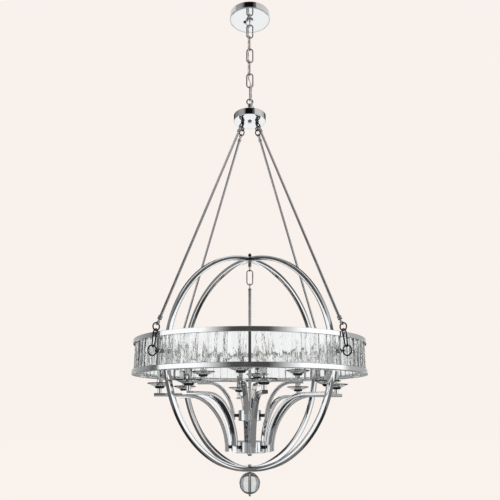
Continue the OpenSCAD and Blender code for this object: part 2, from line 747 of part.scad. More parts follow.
module crown_loop() {
  shank_z = crown_loop_z + crown_loop_r;
  shank_top = drum_z + hoop_in_r - fit;
  color(CHROME) {
    translate([0, 0, crown_loop_z]) rotate([0, 0, 90]) wire_ring(crown_loop_r, crown_wire);
    translate([0, 0, shank_z]) cylinder(d = crown_shank_d, h = shank_top - shank_z);
    translate([0, 0, shank_z]) cylinder(d = ball_rod_d, h = drum_z + hoop_out_r + 8 - shank_z);
  }
}

module crown_link() {
  color(CHROME) translate([0, 0, crown_link_low_z]) oval_link(crown_link_w, crown_link_l, crown_wire);
}

// The loop over the stem, with the headed pin on which the stem hangs and turns
module stem_loop() {
  head_low_z = stem_collar_z - swivel_neck_l - swivel_head_h;
  color(CHROME) {
    translate([0, 0, stem_loop_z]) rotate([0, 0, 90]) wire_ring(crown_loop_r, crown_wire);
    translate([0, 0, stem_collar_z]) cylinder(d = stem_d + 2, h = stem_collar_h);
    translate([0, 0, head_low_z]) cylinder(d = swivel_pin_d, h = stem_collar_z - head_low_z + eps);
    translate([0, 0, head_low_z]) cylinder(d = swivel_head_d, h = swivel_head_h);
  }
}

module stem() {
  neck = swivel_neck_l - 2 * seat;
  room = swivel_head_h + 2 * seat + 4;
  color(CHROME) difference() {
    translate([0, 0, stem_low_z]) cylinder(d = stem_d, h = stem_l);
    translate([0, 0, stem_top_z - neck - 1]) cylinder(d = swivel_pin_d + 2 * running, h = neck + 2);
    translate([0, 0, stem_top_z - neck - room]) cylinder(d = swivel_head_d + 2 * fit, h = room);
  }
}

module stem_nut() {
  color(CHROME) translate([0, 0, lower_hub_z - arm_hub_h / 2 - fit - stem_nut_h]) difference() {
    union() {
      translate([0, 0, stem_nut_h / 2]) cylinder(d = stem_nut_d, h = stem_nut_h / 2);
      cylinder(d1 = stem_nut_d * 0.6, d2 = stem_nut_d, h = stem_nut_h / 2);
    }
    translate([0, 0, stem_nut_h / 2 - 1]) cylinder(d = stem_d + 2 * running, h = stem_nut_h);
  }
}

// Candelabra

// A round hollow hub on the stem
module arm_hub(d, z) {
  color(CHROME) translate([0, 0, z]) difference() {
    cylinder(d = d, h = arm_hub_h, center = true, $fn = 96);
    cylinder(d = d - 2 * arm_hub_wall, h = arm_hub_h - 2 * arm_hub_wall, center = true, $fn = 96);
    cylinder(d = stem_d + 2 * running, h = arm_hub_h + 2, center = true);
  }
}

module spacers(turns, hub_d, z) {
  for (turn = turns) place(turn, hub_d / 2 + fit, z) rotate([90, 0, 0])
    cylinder(d = spacer_d, h = spacer_l - 2 * fit);
}

module arm_spacers() {
  color(DARK_CHROME) {
    spacers(lower_turns, lower_hub_d, lower_hub_z);
    spacers(upper_turns, upper_hub_d, upper_hub_z);
  }
}

// A piece of the bar that bends outwards about the origin, upright in the plane X = 0
module bar_arc(r, from, to) {
  rotate([0, 0, -90]) rotate([90, 0, 0]) rotate([0, 0, from]) rotate_extrude(angle = to - from, $fn = 120)
    translate([r - arm_t / 2, -arm_w / 2]) square([arm_t, arm_w]);
}

// A straight piece of the bar, thicker than the arcs by the weld, up from the origin
module bar_block(l) {
  translate([-arm_w / 2 - weld, -arm_t / 2 - weld, 0]) cube([arm_w + 2 * weld, arm_t + 2 * weld, l]);
}

// One arm: a short upright foot, two arcs and a level bar with a hole for its candle
module arm(turn, start_r, foot_z, run, rise, candle_r) {
  big = big_arc(run, rise);
  small = small_arc(run, rise);
  level = arm_foot + rise;
  end_r = candle_r + arm_tail;
  gap = 0.15;
  place(turn, 0, foot_z) difference() {
    union() {
      place(0, start_r, 0) bar_block(arm_foot + weld_l);
      place(0, start_r + big, arm_foot) bar_arc(big, 135 + gap, 180);
      place(0, start_r + run - small * cos(45), level - small + small * sin(45), -45)
        translate([0, 0, -weld_l]) bar_block(2 * weld_l);
      place(0, start_r + run, level - small) bar_arc(small, 90, 135 - gap);
      place(0, start_r + run - weld_l, level, -90) bar_block(end_r - start_r - run + weld_l);
    }
    place(0, candle_r, level - arm_t) cylinder(d = stub_d + 2 * fit, h = 2 * arm_t);
  }
}

module lower_arms() {
  color(CHROME) for (turn = lower_turns)
    arm(turn, arm_start_r(lower_hub_d), lower_arm_z, lower_run, lower_rise, lower_candle_r);
}

module upper_arms() {
  color(CHROME) for (turn = upper_turns)
    arm(turn, arm_start_r(upper_hub_d), upper_arm_z, upper_run, upper_rise, upper_candle_r);
}

// Puts its children at the underside of every drip cup
module at_candles() {
  for (turn = lower_turns) place(turn, lower_candle_r, lower_level_z + arm_t / 2 + stub_l) children();
  for (turn = upper_turns) place(turn, upper_candle_r, upper_level_z + arm_t / 2 + stub_l) children();
}

module candle_stubs() {
  low = -stub_l - arm_t + 1;
  color(DARK_CHROME) at_candles() {
    translate([0, 0, low]) cylinder(d = stub_d, h = sleeve_z - seat - low);
    translate([0, 0, -stub_l + fit]) cylinder(d = stub_tube_d, h = stub_l - 2 * fit);
  }
}

module drip_cups() {
  bore = stub_d / 2 + fit;
  rim = cup_d / 2;
  color(CHROME) at_candles() rotate_extrude() polygon([
    [bore, 0], [rim * 0.44, 0], [rim * 0.66, 1], [rim * 0.87, 3], [rim, cup_h], [rim - 1, cup_h],
    [rim * 0.8, 4], [rim * 0.62, 2.4], [rim * 0.44, 1.5], [rim * 0.4, cup_boss_h], [bore, cup_boss_h]]);
}

module glass_saucers() {
  bore = stub_d / 2 + fit;
  foot = sleeve_seat_d / 2 + 1.2;
  rim = saucer_d / 2;
  mid = (foot + rim) / 2;
  rise = saucer_rise;
  t = saucer_t;
  color(CRYSTAL) at_candles() translate([0, 0, saucer_z]) rotate_extrude() polygon([
    [bore, 0], [foot, 0], [mid, rise * 0.42], [rim - 1, rise], [rim, rise + 1], [rim - 1, rise + t * 0.9],
    [rim - 3, rise + t * 0.6], [mid - 1, rise * 0.42 + t], [foot - 1, t], [bore, t]]);
}

module sleeve_seats() {
  color(CHROME) at_candles() translate([0, 0, sleeve_seat_z]) difference() {
    cylinder(d1 = sleeve_seat_d, d2 = sleeve_d + 2, h = sleeve_seat_h);
    translate([0, 0, -1]) cylinder(d = stub_d + 2 * fit, h = sleeve_seat_h + 2);
  }
}

module candle_sleeves() {
  color(CHROME) at_candles() translate([0, 0, sleeve_z]) difference() {
    cylinder(d = sleeve_d, h = sleeve_l);
    translate([0, 0, -1]) cylinder(d = sleeve_d - 2 * sleeve_wall, h = sleeve_l + 2);
  }
}

module lamp_sockets() {
  color(NYLON) at_candles() translate([0, 0, sleeve_z]) difference() {
    cylinder(d = socket_d, h = socket_h);
    translate([0, 0, 5]) cylinder(d = socket_d - 2 * socket_wall, h = socket_h);
  }
}

module bulbs() {
  cap = bulb_cap_d / 2;
  cap_z = sleeve_z - bulb_z + 12;
  r = bulb_d / 2;
  color(BULB) at_candles() translate([0, 0, bulb_z]) rotate_extrude() polygon([
    [0, cap_z], [cap, cap_z], [cap, 1], [r * 0.72, bulb_l * 0.1], [r * 0.93, bulb_l * 0.2],
    [r, bulb_l * 0.33], [r * 0.94, bulb_l * 0.48], [r * 0.74, bulb_l * 0.65], [r * 0.42, bulb_l * 0.82],
    [r * 0.14, bulb_l * 0.95], [0, bulb_l]]);
}

// Ball finial

module ball_rod() {
  top = drum_z - hoop_in_r + fit + rod_nut_h + 2;
  low = ball_z - ball_d / 2 - 1.5;
  color(CHROME) {
    translate([0, 0, low]) cylinder(d = ball_rod_d, h = top - low);
    translate([0, 0, ball_z + ball_d / 2 + seat / 2]) cylinder(d = 16, h = ball_washer_h - seat);
  }
}

module ball_rod_nut() {
  color(CHROME) translate([0, 0, drum_z - hoop_in_r + fit]) hex_nut(12, rod_nut_h, ball_rod_d + 2 * running);
}

module glass_ball() {
  color(CRYSTAL) difference() {
    translate([0, 0, ball_z]) sphere(d = ball_d, $fn = 72);
    translate([0, 0, ball_z - ball_d]) cylinder(d = ball_rod_d + 2 * fit, h = 2 * ball_d);
  }
}

module ball_tip() {
  flat = ball_d / 2 - 0.2;
  color(CHROME) translate([0, 0, ball_z - flat - seat]) mirror([0, 0, 1]) difference() {
    union() {
      cylinder(d = 9, h = 2);
      translate([0, 0, 2 - eps]) cylinder(d1 = 8, d2 = 5, h = ball_tip_l - 2 + eps);
    }
    translate([0, 0, -1]) cylinder(d = ball_rod_d + 2 * running, h = 3);
  }
}

ceiling_strap();
nipple();
strap_locknut();
canopy();
canopy_collar();
canopy_loop();
canopy_bushing();
power_cord();
chain_link(1);  // chain_link_1
chain_link(2);  // chain_link_2
chain_link(3);  // chain_link_3
chain_link(4);  // chain_link_4
chain_link(5);  // chain_link_5
chain_link(6);  // chain_link_6
hub_loop();
hub_bushing();
hub_housing();
hub_cover();
hub_cap_nut();
hub_eyes();
eye_locknuts();
rod_top_rings();
rod(-45);  // front_left_rod
rod(45);  // front_right_rod
rod(-135);  // back_left_rod
rod(135);  // back_right_rod
rod_bottom_rings();
pear_links();
hoop_studs();
stud_nuts();
stud_spacers();
hoop(45, true);  // hoop_a
hoop(-45, false);  // hoop_b
color(CHROME) band(1);  // drum_top_band
color(CHROME) band(-1);  // drum_bottom_band
drum_posts();
post_pins();
crystal_bars();
crown_nut();
crown_loop();
crown_link();
stem_loop();
stem();
stem_nut();
arm_hub(upper_hub_d, upper_hub_z);  // upper_hub
arm_hub(lower_hub_d, lower_hub_z);  // lower_hub
arm_spacers();
upper_arms();
lower_arms();
candle_stubs();
drip_cups();
glass_saucers();
sleeve_seats();
candle_sleeves();
lamp_sockets();
bulbs();
ball_rod();
ball_rod_nut();
glass_ball();
ball_tip();
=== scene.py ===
"""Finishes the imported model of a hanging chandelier: modelled pieces, materials, stage and camera.

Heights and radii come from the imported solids, so every piece sits where the solids sit.
Azimuth 0 is the front, towards -Y, and azimuth 90 is the right, towards +X.
"""

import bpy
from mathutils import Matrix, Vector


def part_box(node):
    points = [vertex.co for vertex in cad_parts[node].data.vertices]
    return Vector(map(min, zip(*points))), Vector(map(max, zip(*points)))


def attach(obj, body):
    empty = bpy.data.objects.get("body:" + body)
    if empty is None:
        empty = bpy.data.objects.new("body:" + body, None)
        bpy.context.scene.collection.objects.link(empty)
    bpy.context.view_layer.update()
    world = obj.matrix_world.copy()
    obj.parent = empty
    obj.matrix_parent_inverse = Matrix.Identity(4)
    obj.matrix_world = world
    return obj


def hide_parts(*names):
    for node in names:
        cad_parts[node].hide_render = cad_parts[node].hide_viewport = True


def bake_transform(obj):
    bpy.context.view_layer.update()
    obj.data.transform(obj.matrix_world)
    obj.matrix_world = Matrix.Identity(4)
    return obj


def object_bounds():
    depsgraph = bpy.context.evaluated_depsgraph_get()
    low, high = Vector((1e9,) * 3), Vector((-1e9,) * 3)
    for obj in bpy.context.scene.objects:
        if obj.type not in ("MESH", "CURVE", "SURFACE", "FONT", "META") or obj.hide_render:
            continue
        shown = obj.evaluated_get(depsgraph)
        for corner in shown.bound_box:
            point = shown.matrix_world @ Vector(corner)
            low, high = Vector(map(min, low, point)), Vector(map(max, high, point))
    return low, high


bl_info = {
    "name": "Crystal Drum Chandelier",
    "version": (1, 0, 0),
    "blender": (4, 5, 0),
    "location": "View3D > Sidebar > Chandelier",
    "description": "Dresses a packed chandelier with modelled pieces, materials and a studio stage",
    "category": "Object",
}

import math
import random

import bpy
from mathutils import Matrix, Vector

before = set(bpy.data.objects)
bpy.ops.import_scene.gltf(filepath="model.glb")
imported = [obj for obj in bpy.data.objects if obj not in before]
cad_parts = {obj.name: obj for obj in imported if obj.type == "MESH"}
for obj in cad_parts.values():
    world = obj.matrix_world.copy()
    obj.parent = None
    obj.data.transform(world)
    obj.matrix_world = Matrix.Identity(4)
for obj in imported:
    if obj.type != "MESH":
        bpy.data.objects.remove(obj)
CAD_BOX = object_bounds()

MM = 0.001


def low(node, axis=2):
    """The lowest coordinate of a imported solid, in millimetres."""
    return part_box(node)[0][axis] / MM


def high(node, axis=2):
    """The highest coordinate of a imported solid, in millimetres."""
    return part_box(node)[1][axis] / MM


DRUM_Z = (high("drum_top_band") + low("drum_bottom_band")) / 2
HUB_TOP = high("hub_housing")


def linear(code):
    """An sRGB hex colour as linear red, green, blue."""
    parts = [int(code[i : i + 2], 16) / 255 for i in (1, 3, 5)]
    return tuple(v / 12.92 if v <= 0.04045 else ((v + 0.055) / 1.055) ** 2.4 for v in parts)


# Modelling helpers


def deselect():
    """Leaves nothing selected."""
    bpy.ops.object.select_all(action="DESELECT")


def edit(obj):
    """Opens a piece in edit mode, with all of it selected."""
    deselect()
    obj.select_set(True)
    bpy.context.view_layer.objects.active = obj
    bpy.ops.object.mode_set(mode="EDIT")
    bpy.ops.mesh.select_all(action="SELECT")


def close(obj, name, angle=35):
    """Closes seams and poles, points the faces outwards and leaves edit mode."""
    bpy.ops.mesh.select_all(action="SELECT")
    bpy.ops.mesh.remove_doubles(threshold=0.00004)
    bpy.ops.mesh.normals_make_consistent(inside=False)
    bpy.ops.object.mode_set(mode="OBJECT")
    bpy.ops.object.transform_apply(location=True, rotation=True, scale=True)
    bpy.ops.object.shade_smooth_by_angle(angle=math.radians(angle))
    obj.name = name
    return obj


def turned(name, profile, segments=64, angle=35):
    """A turned piece: a circle extruded and resized along pairs of radius and height in mm."""
    pole = 0.01
    points = [(max(r, pole), z) for r, z in profile]
    deselect()
    bpy.ops.mesh.primitive_circle_add(
        vertices=segments, radius=points[0][0] * MM, location=(0, 0, points[0][1] * MM)
    )
    obj = bpy.context.object
    edit(obj)
    for (r0, z0), (r1, z1) in zip(points, points[1:]):
        bpy.ops.mesh.extrude_edges_move(TRANSFORM_OT_translate={"value": (0, 0, (z1 - z0) * MM)})
        bpy.ops.transform.resize(value=(r1 / r0, r1 / r0, 1), center_override=(0, 0, z1 * MM))
    return close(obj, name, angle)


def joined(pieces, name):
    """Joins several pieces into one."""
    deselect()
    for piece in pieces:
        piece.select_set(True)
    bpy.context.view_layer.objects.active = pieces[0]
    if len(pieces) > 1:
        bpy.ops.object.join()
    pieces[0].name = name
    return pieces[0]


def copies(obj, places, name):
    """Copies a piece, each copy with its own mesh, to matrices in mm, and joins the copies."""
    made = []
    for place in places:
        copy = obj.copy()
        copy.data = obj.data.copy()
        bpy.context.collection.objects.link(copy)
        place = place.copy()
        place.translation *= MM
        copy.data.transform(place)
        made.append(copy)
    bpy.data.objects.remove(obj)
    return joined(made, name)


def at(turn, r, z):
    """The place at an azimuth, a radius and a height."""
    return Matrix.Rotation(math.radians(turn), 4, "Z") @ Matrix.Translation((0, -r, z))


def finish(obj, material, body, slot, *nodes):
    """Gives a piece its material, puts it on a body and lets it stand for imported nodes."""
    obj.data.materials.clear()
    obj.data.materials.append(material)
    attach(obj, body)
    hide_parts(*nodes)


def dress(material, *nodes):
    """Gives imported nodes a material."""
    for node in nodes:
        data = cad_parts[node].data
        data.materials.clear()
        data.materials.append(material)


# Materials


def add(tree, kind, inputs=None, **settings):
    """Adds one node to a tree, with its settings and its inputs' values or links."""
    node = tree.nodes.new(kind)
    for key, value in settings.items():
        setattr(node, key, value)
    for key, value in (inputs or {}).items():
        if isinstance(value, bpy.types.NodeSocket):
            tree.links.new(value, node.inputs[key])
        else:
            node.inputs[key].default_value = value
    return node


def surface(name, **sockets):
    """A material with a Principled shader, and its node tree and shader."""
    material = bpy.data.materials.new(name)
    material.use_nodes = True
    tree = material.node_tree
    shader = tree.nodes["Principled BSDF"]
    for key, value in sockets.items():
        shader.inputs[key.replace("_", " ")].default_value = value
    return material, tree, shader


EVEN = (1.0, 1.0, 1.0)


def grain(tree, size_mm, detail, stretch=EVEN):
    """The values of a noise on Object coordinates, in patches about size_mm across."""
    place = add(tree, "ShaderNodeTexCoord")
    scaled = add(tree, "ShaderNodeMapping", {"Vector": place.outputs["Object"], "Scale": stretch})
    noise = {"Vector": scaled.outputs["Vector"], "Scale": 1 / (size_mm * MM), "Detail": detail}
    return add(tree, "ShaderNodeTexNoise", noise).outputs["Fac"]


def clouded(tree, shader, size_mm, detail, smoothest, roughest):
    """Varies the roughness between two values, in patches of a given size."""
    levels = {"From Min": 0.3, "From Max": 0.7, "To Min": smoothest, "To Max": roughest}
    patches = add(tree, "ShaderNodeMapRange", {"Value": grain(tree, size_mm, detail), **levels})
    tree.links.new(patches.outputs["Result"], shader.inputs["Roughness"])


def waved(tree, shader, size_mm, height_mm, stretch=EVEN):
    """Leaves waves of a given size and height on the surface."""
    pattern = grain(tree, size_mm, 2, stretch)
    waves = {"Height": pattern, "Distance": height_mm * MM, "Strength": 1.0}
    tree.links.new(add(tree, "ShaderNodeBump", waves).outputs["Normal"], shader.inputs["Normal"])


def two_toned(tree, shader, size_mm, detail, dark, light, stretch=EVEN):
    """Colours the surface between two tones, in patches of a given size."""
    pattern = grain(tree, size_mm, detail, stretch)
    tones = {"Factor": pattern, "A": (*linear(dark), 1), "B": (*linear(light), 1)}
    mix = add(tree, "ShaderNodeMix", tones, data_type="RGBA")
    tree.links.new(mix.outputs["Result"], shader.inputs["Base Color"])


def chrome(name, code, roughness, size_mm, height_mm):
    """Chrome plate on steel or brass: a mirror with waves from polishing and a faint wiped haze."""
    material, tree, shader = surface(name, Base_Color=(*linear(code), 1), Metallic=1.0)
    cloth_mm = 22
    clouded(tree, shader, cloth_mm, 4, roughness * 0.6, roughness * 1.6)
    waved(tree, shader, size_mm, height_mm)
    return material


def clear(name, code, ior, roughness, size_mm, height_mm, stretch=EVEN):
    """Clear glass, with waves of a given size and height."""
    material, tree, shader = surface(
        name, Base_Color=(*linear(code), 1), IOR=ior, Transmission_Weight=1.0, Roughness=roughness
    )
    waved(tree, shader, size_mm, height_mm, stretch)
    return material


def make_materials():
    """Makes every material of the object, by name."""
    colours = bpy.context.scene.chandelier_colours
    found = {}

    # Polished chrome plate: sharp dark and white reflections, waves about 30 mm apart
    found["chrome"] = chrome("polished_chrome_plate", colours.chrome, 0.05, 30, 0.05)

    # Chrome on small forgings, which are polished less deeply. Its colour is painted dark: painted
    # shade that stands in for the dark reflections that they gather
    found["dark_chrome"] = chrome("chrome_forging_painted_shade", colours.dark_chrome, 0.12, 6, 0.03)

    # Chrome on drawn tube and bent wire: its fine draw marks blur the reflections, and its colour is
    # painted darker than the polished chrome as painted shade; together they give a mid grey.
    # They are drawn 5 mm across, coarser than the real ones, so that they show
    found["tube"] = chrome("drawn_chrome_tube", colours.tube, 0.22, 5, 0.02)

    # Rolled band, chrome over a finely planished sheet: the hammer's facets, about 4 mm wide, break
    # the mirror
    found["band"] = chrome("planished_chrome_band", colours.band, 0.13, 4, 0.07)

    # Zinc-plated steel pressings, dull and slightly cloudy, hidden in the canopy and the hub
    material, tree, shader = surface("zinc_plated_steel", Metallic=1.0)
    two_toned(tree, shader, 6, 4, "#8E8F8A", "#B5B4AD")
    clouded(tree, shader, 6, 4, 0.3, 0.5)
    found["zinc"] = material

    # Cut and polished crystal: clear, with bright cut facets and a little lead sparkle. Its pull
    # marks, 9 mm wide and four times as long, are drawn deeper than they are, so that they show
    found["crystal"] = clear("cut_lead_crystal", colours.crystal, 1.56, 0.0, 9, 1.1, (1, 1, 0.25))

    # Pressed clear glass of the saucers, with the slow waves of a fire-polished pressing; the body
    # takes up light, so that the edges look darker
    material = clear("pressed_clear_glass", colours.glass, 1.5, 0.02, 12, 0.08)
    tree = material.node_tree
    tint = {"Color": (*linear("#595D61"), 1), "Density": 60.0}
    body = add(tree, "ShaderNodeVolumeAbsorption", tint)
    tree.links.new(body.outputs["Volume"], tree.nodes["Material Output"].inputs["Volume"])
    found["glass"] = material

    # Solid glass ball, ground and polished; its thickness gives it a grey body
    found["ball"] = clear("polished_glass_ball", colours.ball, 1.5, 0.0, 25, 0.02)

    # Clear PVC jacket over tinned strands: a silvery core shows through the gloss. The strands are
    # drawn 1.6 mm across, coarser than the real ones, so that they show
    material, tree, shader = surface(
        "clear_pvc_cord", Metallic=0.5, Roughness=0.35, Coat_Weight=0.8, Coat_Roughness=0.15
    )
    along = (1, 1, 0.15)
    two_toned(tree, shader, 1.6, 2, "#8B8A86", colours.cord, along)
    waved(tree, shader, 1.6, 0.12, along)
    found["cord"] = material

    # Moulded black plastic of bushings and sockets, matt and dark. Its spark-eroded grain is drawn
    # 0.8 mm across, coarser than the real one, so that it shows
    material, tree, shader = surface("moulded_black_plastic", Base_Color=(*linear("#1B1B1C"), 1))
    clouded(tree, shader, 3, 3, 0.38, 0.55)
    waved(tree, shader, 0.8, 0.03)
    found["plastic"] = material

    # Thin blown glass of the bulbs. They are modelled solid, so a low index of refraction stands
    # for the thin wall
    found["bulb"] = clear("blown_bulb_glass", "#FBFAF6", 1.1, 0.0, 18, 0.03)
    return found


MATERIALS = {}


# Pieces


class CHANDELIER_OT_canopy(bpy.types.Operator):
    """Canopy, its collar and loop, and the strap, nipple and nut inside it"""

    bl_idname = "chandelier.canopy"
    bl_label = "Canopy"

    def execute(self, context):
        r = high("canopy", 0)
        base = low("canopy")
        wall = 1.5
        lip = 2.2
        bore = 14
        canopy = turned(
            "canopy_shell",
            [
                (bore, base + wall), (bore, base), (bore + 0.6, base), (r - 6.2, base),
                (r - 5.6, base), (r - 5, base + 0.3), (r - 4.6, base + 0.3), (r - 4.2, base),
                (r - 3.6, base), (r - lip, base), (r - 1.2, base + 0.3), (r - 0.3, base + 1.2),
                (r, base + lip), (r, base + lip + 0.5), (r, -1.8), (r, -1.2), (r - 0.5, -0.3),
                (r - wall + 0.2, -0.3), (r - wall, -1), (r - wall, base + lip + 0.5),
                (r - lip - wall, base + wall), (bore, base + wall),
            ],
            128,
        )
        finish(canopy, MATERIALS["chrome"], "ceiling", "chrome", "canopy")
        dress(MATERIALS["chrome"], "canopy_collar", "canopy_loop")
        dress(MATERIALS["zinc"], "ceiling_strap", "nipple", "strap_locknut")
        dress(MATERIALS["plastic"], "canopy_bushing")
        return {"FINISHED"}


# The cord's route: where it stands off the chain's axis at the canopy, the seven joints and the hub
CORD_OFF = 6.0
CORD_SIDES = (
    (-3.4, 1.7), (-1, 1), (-1, -1), (-1, -1), (-1, 1), (-1, 1), (1, -1), (1, -1), (3.4, -1.7),
)
CORD_END = 9.0  # how far it goes into the canopy and the hub
STRAND_OVERLAP = 0.12  # by which the two round strands sink into each other, in mm
LINKS = 6
JOINT_TOP = -56.0  # height of the first joint
JOINT_STEP = 57.8  # from each joint down to the next


def joint_z(index):
    """Height of a chain joint, in mm."""
    return JOINT_TOP - JOINT_STEP * index


def cord_stops():
    """The heights and sides at which the route is fixed."""
    heights = [low("canopy")] + [joint_z(i) for i in range(LINKS + 1)] + [HUB_TOP]
    return [Vector((x * CORD_OFF, y * CORD_OFF, z)) for (x, y), z in zip(CORD_SIDES, heights)]


def cord_point(stops, z):
    """The route's point at a height: it eases from side to side between two stops."""
    if z >= stops[0].z:
        return Vector((stops[0].x, stops[0].y, z))
    if z <= stops[-1].z:
        return Vector((stops[-1].x, stops[-1].y, z))
    for above, below in zip(stops, stops[1:]):
        if z >= below.z:
            t = (above.z - z) / (above.z - below.z)
            eased = t * t * (3 - 2 * t)
            return Vector((*(above.xy.lerp(below.xy, eased)), z))


class CHANDELIER_OT_cord(bpy.types.Operator):
    """Electric cord of two insulated strands, laid round each other, woven down the chain"""

    bl_idname = "chandelier.cord"
    bl_label = "Cord"

    def execute(self, context):
        sizes = context.scene.chandelier_sizes
        stops = cord_stops()
        strand = sizes.cord_width / MM / 4
        top = low("canopy") + CORD_END
        bottom = HUB_TOP - CORD_END
        cuts = [top] + [(joint_z(i) + joint_z(i + 1)) / 2 for i in range(LINKS)] + [bottom]
        for index, (start, end) in enumerate(zip(cuts, cuts[1:])):
            steps = max(12, round((start - end) / 3))
            strands = []
            for side in (0, math.pi):
                curve = bpy.data.curves.new("strand", "CURVE")
                curve.dimensions = "3D"
                curve.bevel_depth = (strand + STRAND_OVERLAP) * MM
                curve.bevel_resolution = 4
                curve.use_fill_caps = True
                spline = curve.splines.new("POLY")
                spline.points.add(steps)
                for k in range(steps + 1):
                    z = start + (end - start) * k / steps
                    turn = z / sizes.cord_lay * MM * 2 * math.pi + side
                    middle = cord_point(stops, z)
                    point = middle + Vector((math.cos(turn), math.sin(turn), 0)) * strand
                    spline.points[k].co = (*(point * MM), 1)
                made = bpy.data.objects.new("strand", curve)
                context.collection.objects.link(made)
                deselect()
                made.select_set(True)
                context.view_layer.objects.active = made
                bpy.ops.object.convert(target="MESH")
                bpy.ops.object.shade_smooth_by_angle(angle=math.radians(50))
                strands.append(context.object)
            piece = joined(strands, f"cord_part_{index + 1}")
            piece.data.materials.clear()
            piece.data.materials.append(MATERIALS["cord"])
            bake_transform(piece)
            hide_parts("power_cord")
        return {"FINISHED"}


class CHANDELIER_OT_chain(bpy.types.Operator):
    """Six oval chain links"""

    bl_idname = "chandelier.chain"
    bl_label = "Chain"

    def execute(self, context):
        dress(MATERIALS["tube"], *[f"chain_link_{i}" for i in range(1, LINKS + 1)])
        return {"FINISHED"}


class CHANDELIER_OT_hub(bpy.types.Operator):
    """Round hub with its loop, cover, cap nut and eyes"""

    bl_idname = "chandelier.hub"
    bl_label = "Hub"

    def execute(self, context):
        r = high("hub_housing", 0)
        top, base = high("hub_housing"), low("hub_housing")
        wall = 2
        soft = 1.6
        bore = 5.2
        housing = turned(
            "hub_shell",
            [
                (bore, top), (bore + 0.6, top), (r - soft - 0.6, top), (r - soft, top),
                (r - 0.5, top - 0.5), (r, top - soft), (r, top - soft - 0.6), (r, base + 1.4),
                (r, base + 0.8), (r - 0.4, base), (r - wall + 0.3, base), (r - wall, base + 0.6),
                (r - wall, top - wall), (bore, top - wall), (bore, top),
            ],
            112,
        )
        finish(housing, MATERIALS["chrome"], "hoop_frame", "chrome", "hub_housing")
        dress(MATERIALS["chrome"], "hub_cover", "hub_cap_nut")
        dress(
            MATERIALS["tube"], "hub_loop", "front_left_rod", "front_right_rod", "back_left_rod",
            "back_right_rod",
        )
        dress(MATERIALS["dark_chrome"], "hub_eyes")
        dress(MATERIALS["zinc"], "eye_locknuts")
        dress(MATERIALS["plastic"], "hub_bushing")
        return {"FINISHED"}


class CHANDELIER_OT_fittings(bpy.types.Operator):
    """Rings, pear-shaped links and studs at the rods' ends"""

    bl_idname = "chandelier.fittings"
    bl_label = "Rod fittings"

    def execute(self, context):
        dress(
            MATERIALS["dark_chrome"], "rod_top_rings", "rod_bottom_rings", "pear_links",
            "hoop_studs", "stud_nuts", "stud_spacers",
        )
        return {"FINISHED"}


def spun_bar(name, width, depth, soft, r, steps):
    """A bar of rounded rectangular section, spun into a full ring about the Y axis, in mm."""
    deselect()
    bpy.ops.mesh.primitive_plane_add(size=MM, location=(r * MM, 0, 0))
    obj = bpy.context.object
    edit(obj)
    bpy.ops.transform.resize(value=(width, depth, 1), center_override=(r * MM, 0, 0))
    bpy.ops.mesh.bevel(offset=soft * MM, segments=3, affect="VERTICES")
    bpy.ops.mesh.delete(type="ONLY_FACE")
    bpy.ops.mesh.select_all(action="SELECT")
    bpy.ops.mesh.spin(steps=steps, angle=math.tau, center=(0, 0, 0), axis=(0, 1, 0))
    return close(obj, name)


class CHANDELIER_OT_hoops(bpy.types.Operator):
    """Two square-bar hoops that cross at the top and the bottom"""

    bl_idname = "chandelier.hoops"
    bl_label = "Hoops"

    def execute(self, context):
        bar = context.scene.chandelier_sizes.hoop_bar / MM
        middle = high("hoop_a") - DRUM_Z - bar / 2
        for node, turn in (("hoop_a", 45), ("hoop_b", -45)):
            hoop = spun_bar(f"{node}_bar", bar, bar, soft=0.9, r=middle, steps=200)
            place = Matrix.Translation((0, 0, DRUM_Z)) @ Matrix.Rotation(math.radians(turn), 4, "Z")
            hoop = copies(hoop, [place], f"{node}_bar")
            finish(hoop, MATERIALS["chrome"], "hoop_frame", "chrome", node)
        return {"FINISHED"}


# The drum's eight bays of crystal bars, in mm and degrees
BAYS = 8
BAY_BARS = 10
BAY_TURN = 360 / BAYS
CRYSTAL_IN, CRYSTAL_OUT = 386.0, 400.0
POST_TURN = 2 * math.degrees(math.atan(4.3 / CRYSTAL_IN))  # what a post and its room take up
BAR_TURN = (BAY_TURN - POST_TURN) / BAY_BARS
BAR_GAP = 0.3  # room at each long side of a bar
EDGE_CHAMFER = 1.6
END_CHAMFER = 1.2
POST_R = 392
COLLAR_ROOM = 8.4  # radius of the notch round a post's collar


class CHANDELIER_OT_drum(bpy.types.Operator):
    """The drum's two bands, posts and pins"""

    bl_idname = "chandelier.drum"
    bl_label = "Drum bands"

    def execute(self, context):
        r = high("drum_top_band", 0)
        top = high("drum_top_band")
        height = top - low("drum_top_band")
        inner = CRYSTAL_IN - 2.3
        lip, wall, flange, soft = 8, 2.5, 2.5, 0.9  # the lip stands behind the crystals' ends
        lip_out = inner + 2
        section = [
            (inner, -lip + soft), (inner, -soft), (inner + soft, 0), (r - soft, 0), (r, -soft),
            (r, -height + soft), (r - soft, -height), (r - wall + 0.3, -height),
            (r - wall, -height + 0.5), (r - wall, -flange), (lip_out, -flange), (lip_out, -lip),
            (inner + 0.5, -lip), (inner, -lip + soft),
        ]
        base = low("drum_bottom_band")
        for node, level, up in (("drum_top_band", top, 1), ("drum_bottom_band", base, -1)):
            band = turned(f"{node}_ring", [(x, level + up * z) for x, z in section], 240)
            finish(band, MATERIALS["band"], "hoop_frame", "chrome", node)
        dress(MATERIALS["chrome"], "drum_posts")
        dress(MATERIALS["band"], "post_pins")
        return {"FINISHED"}


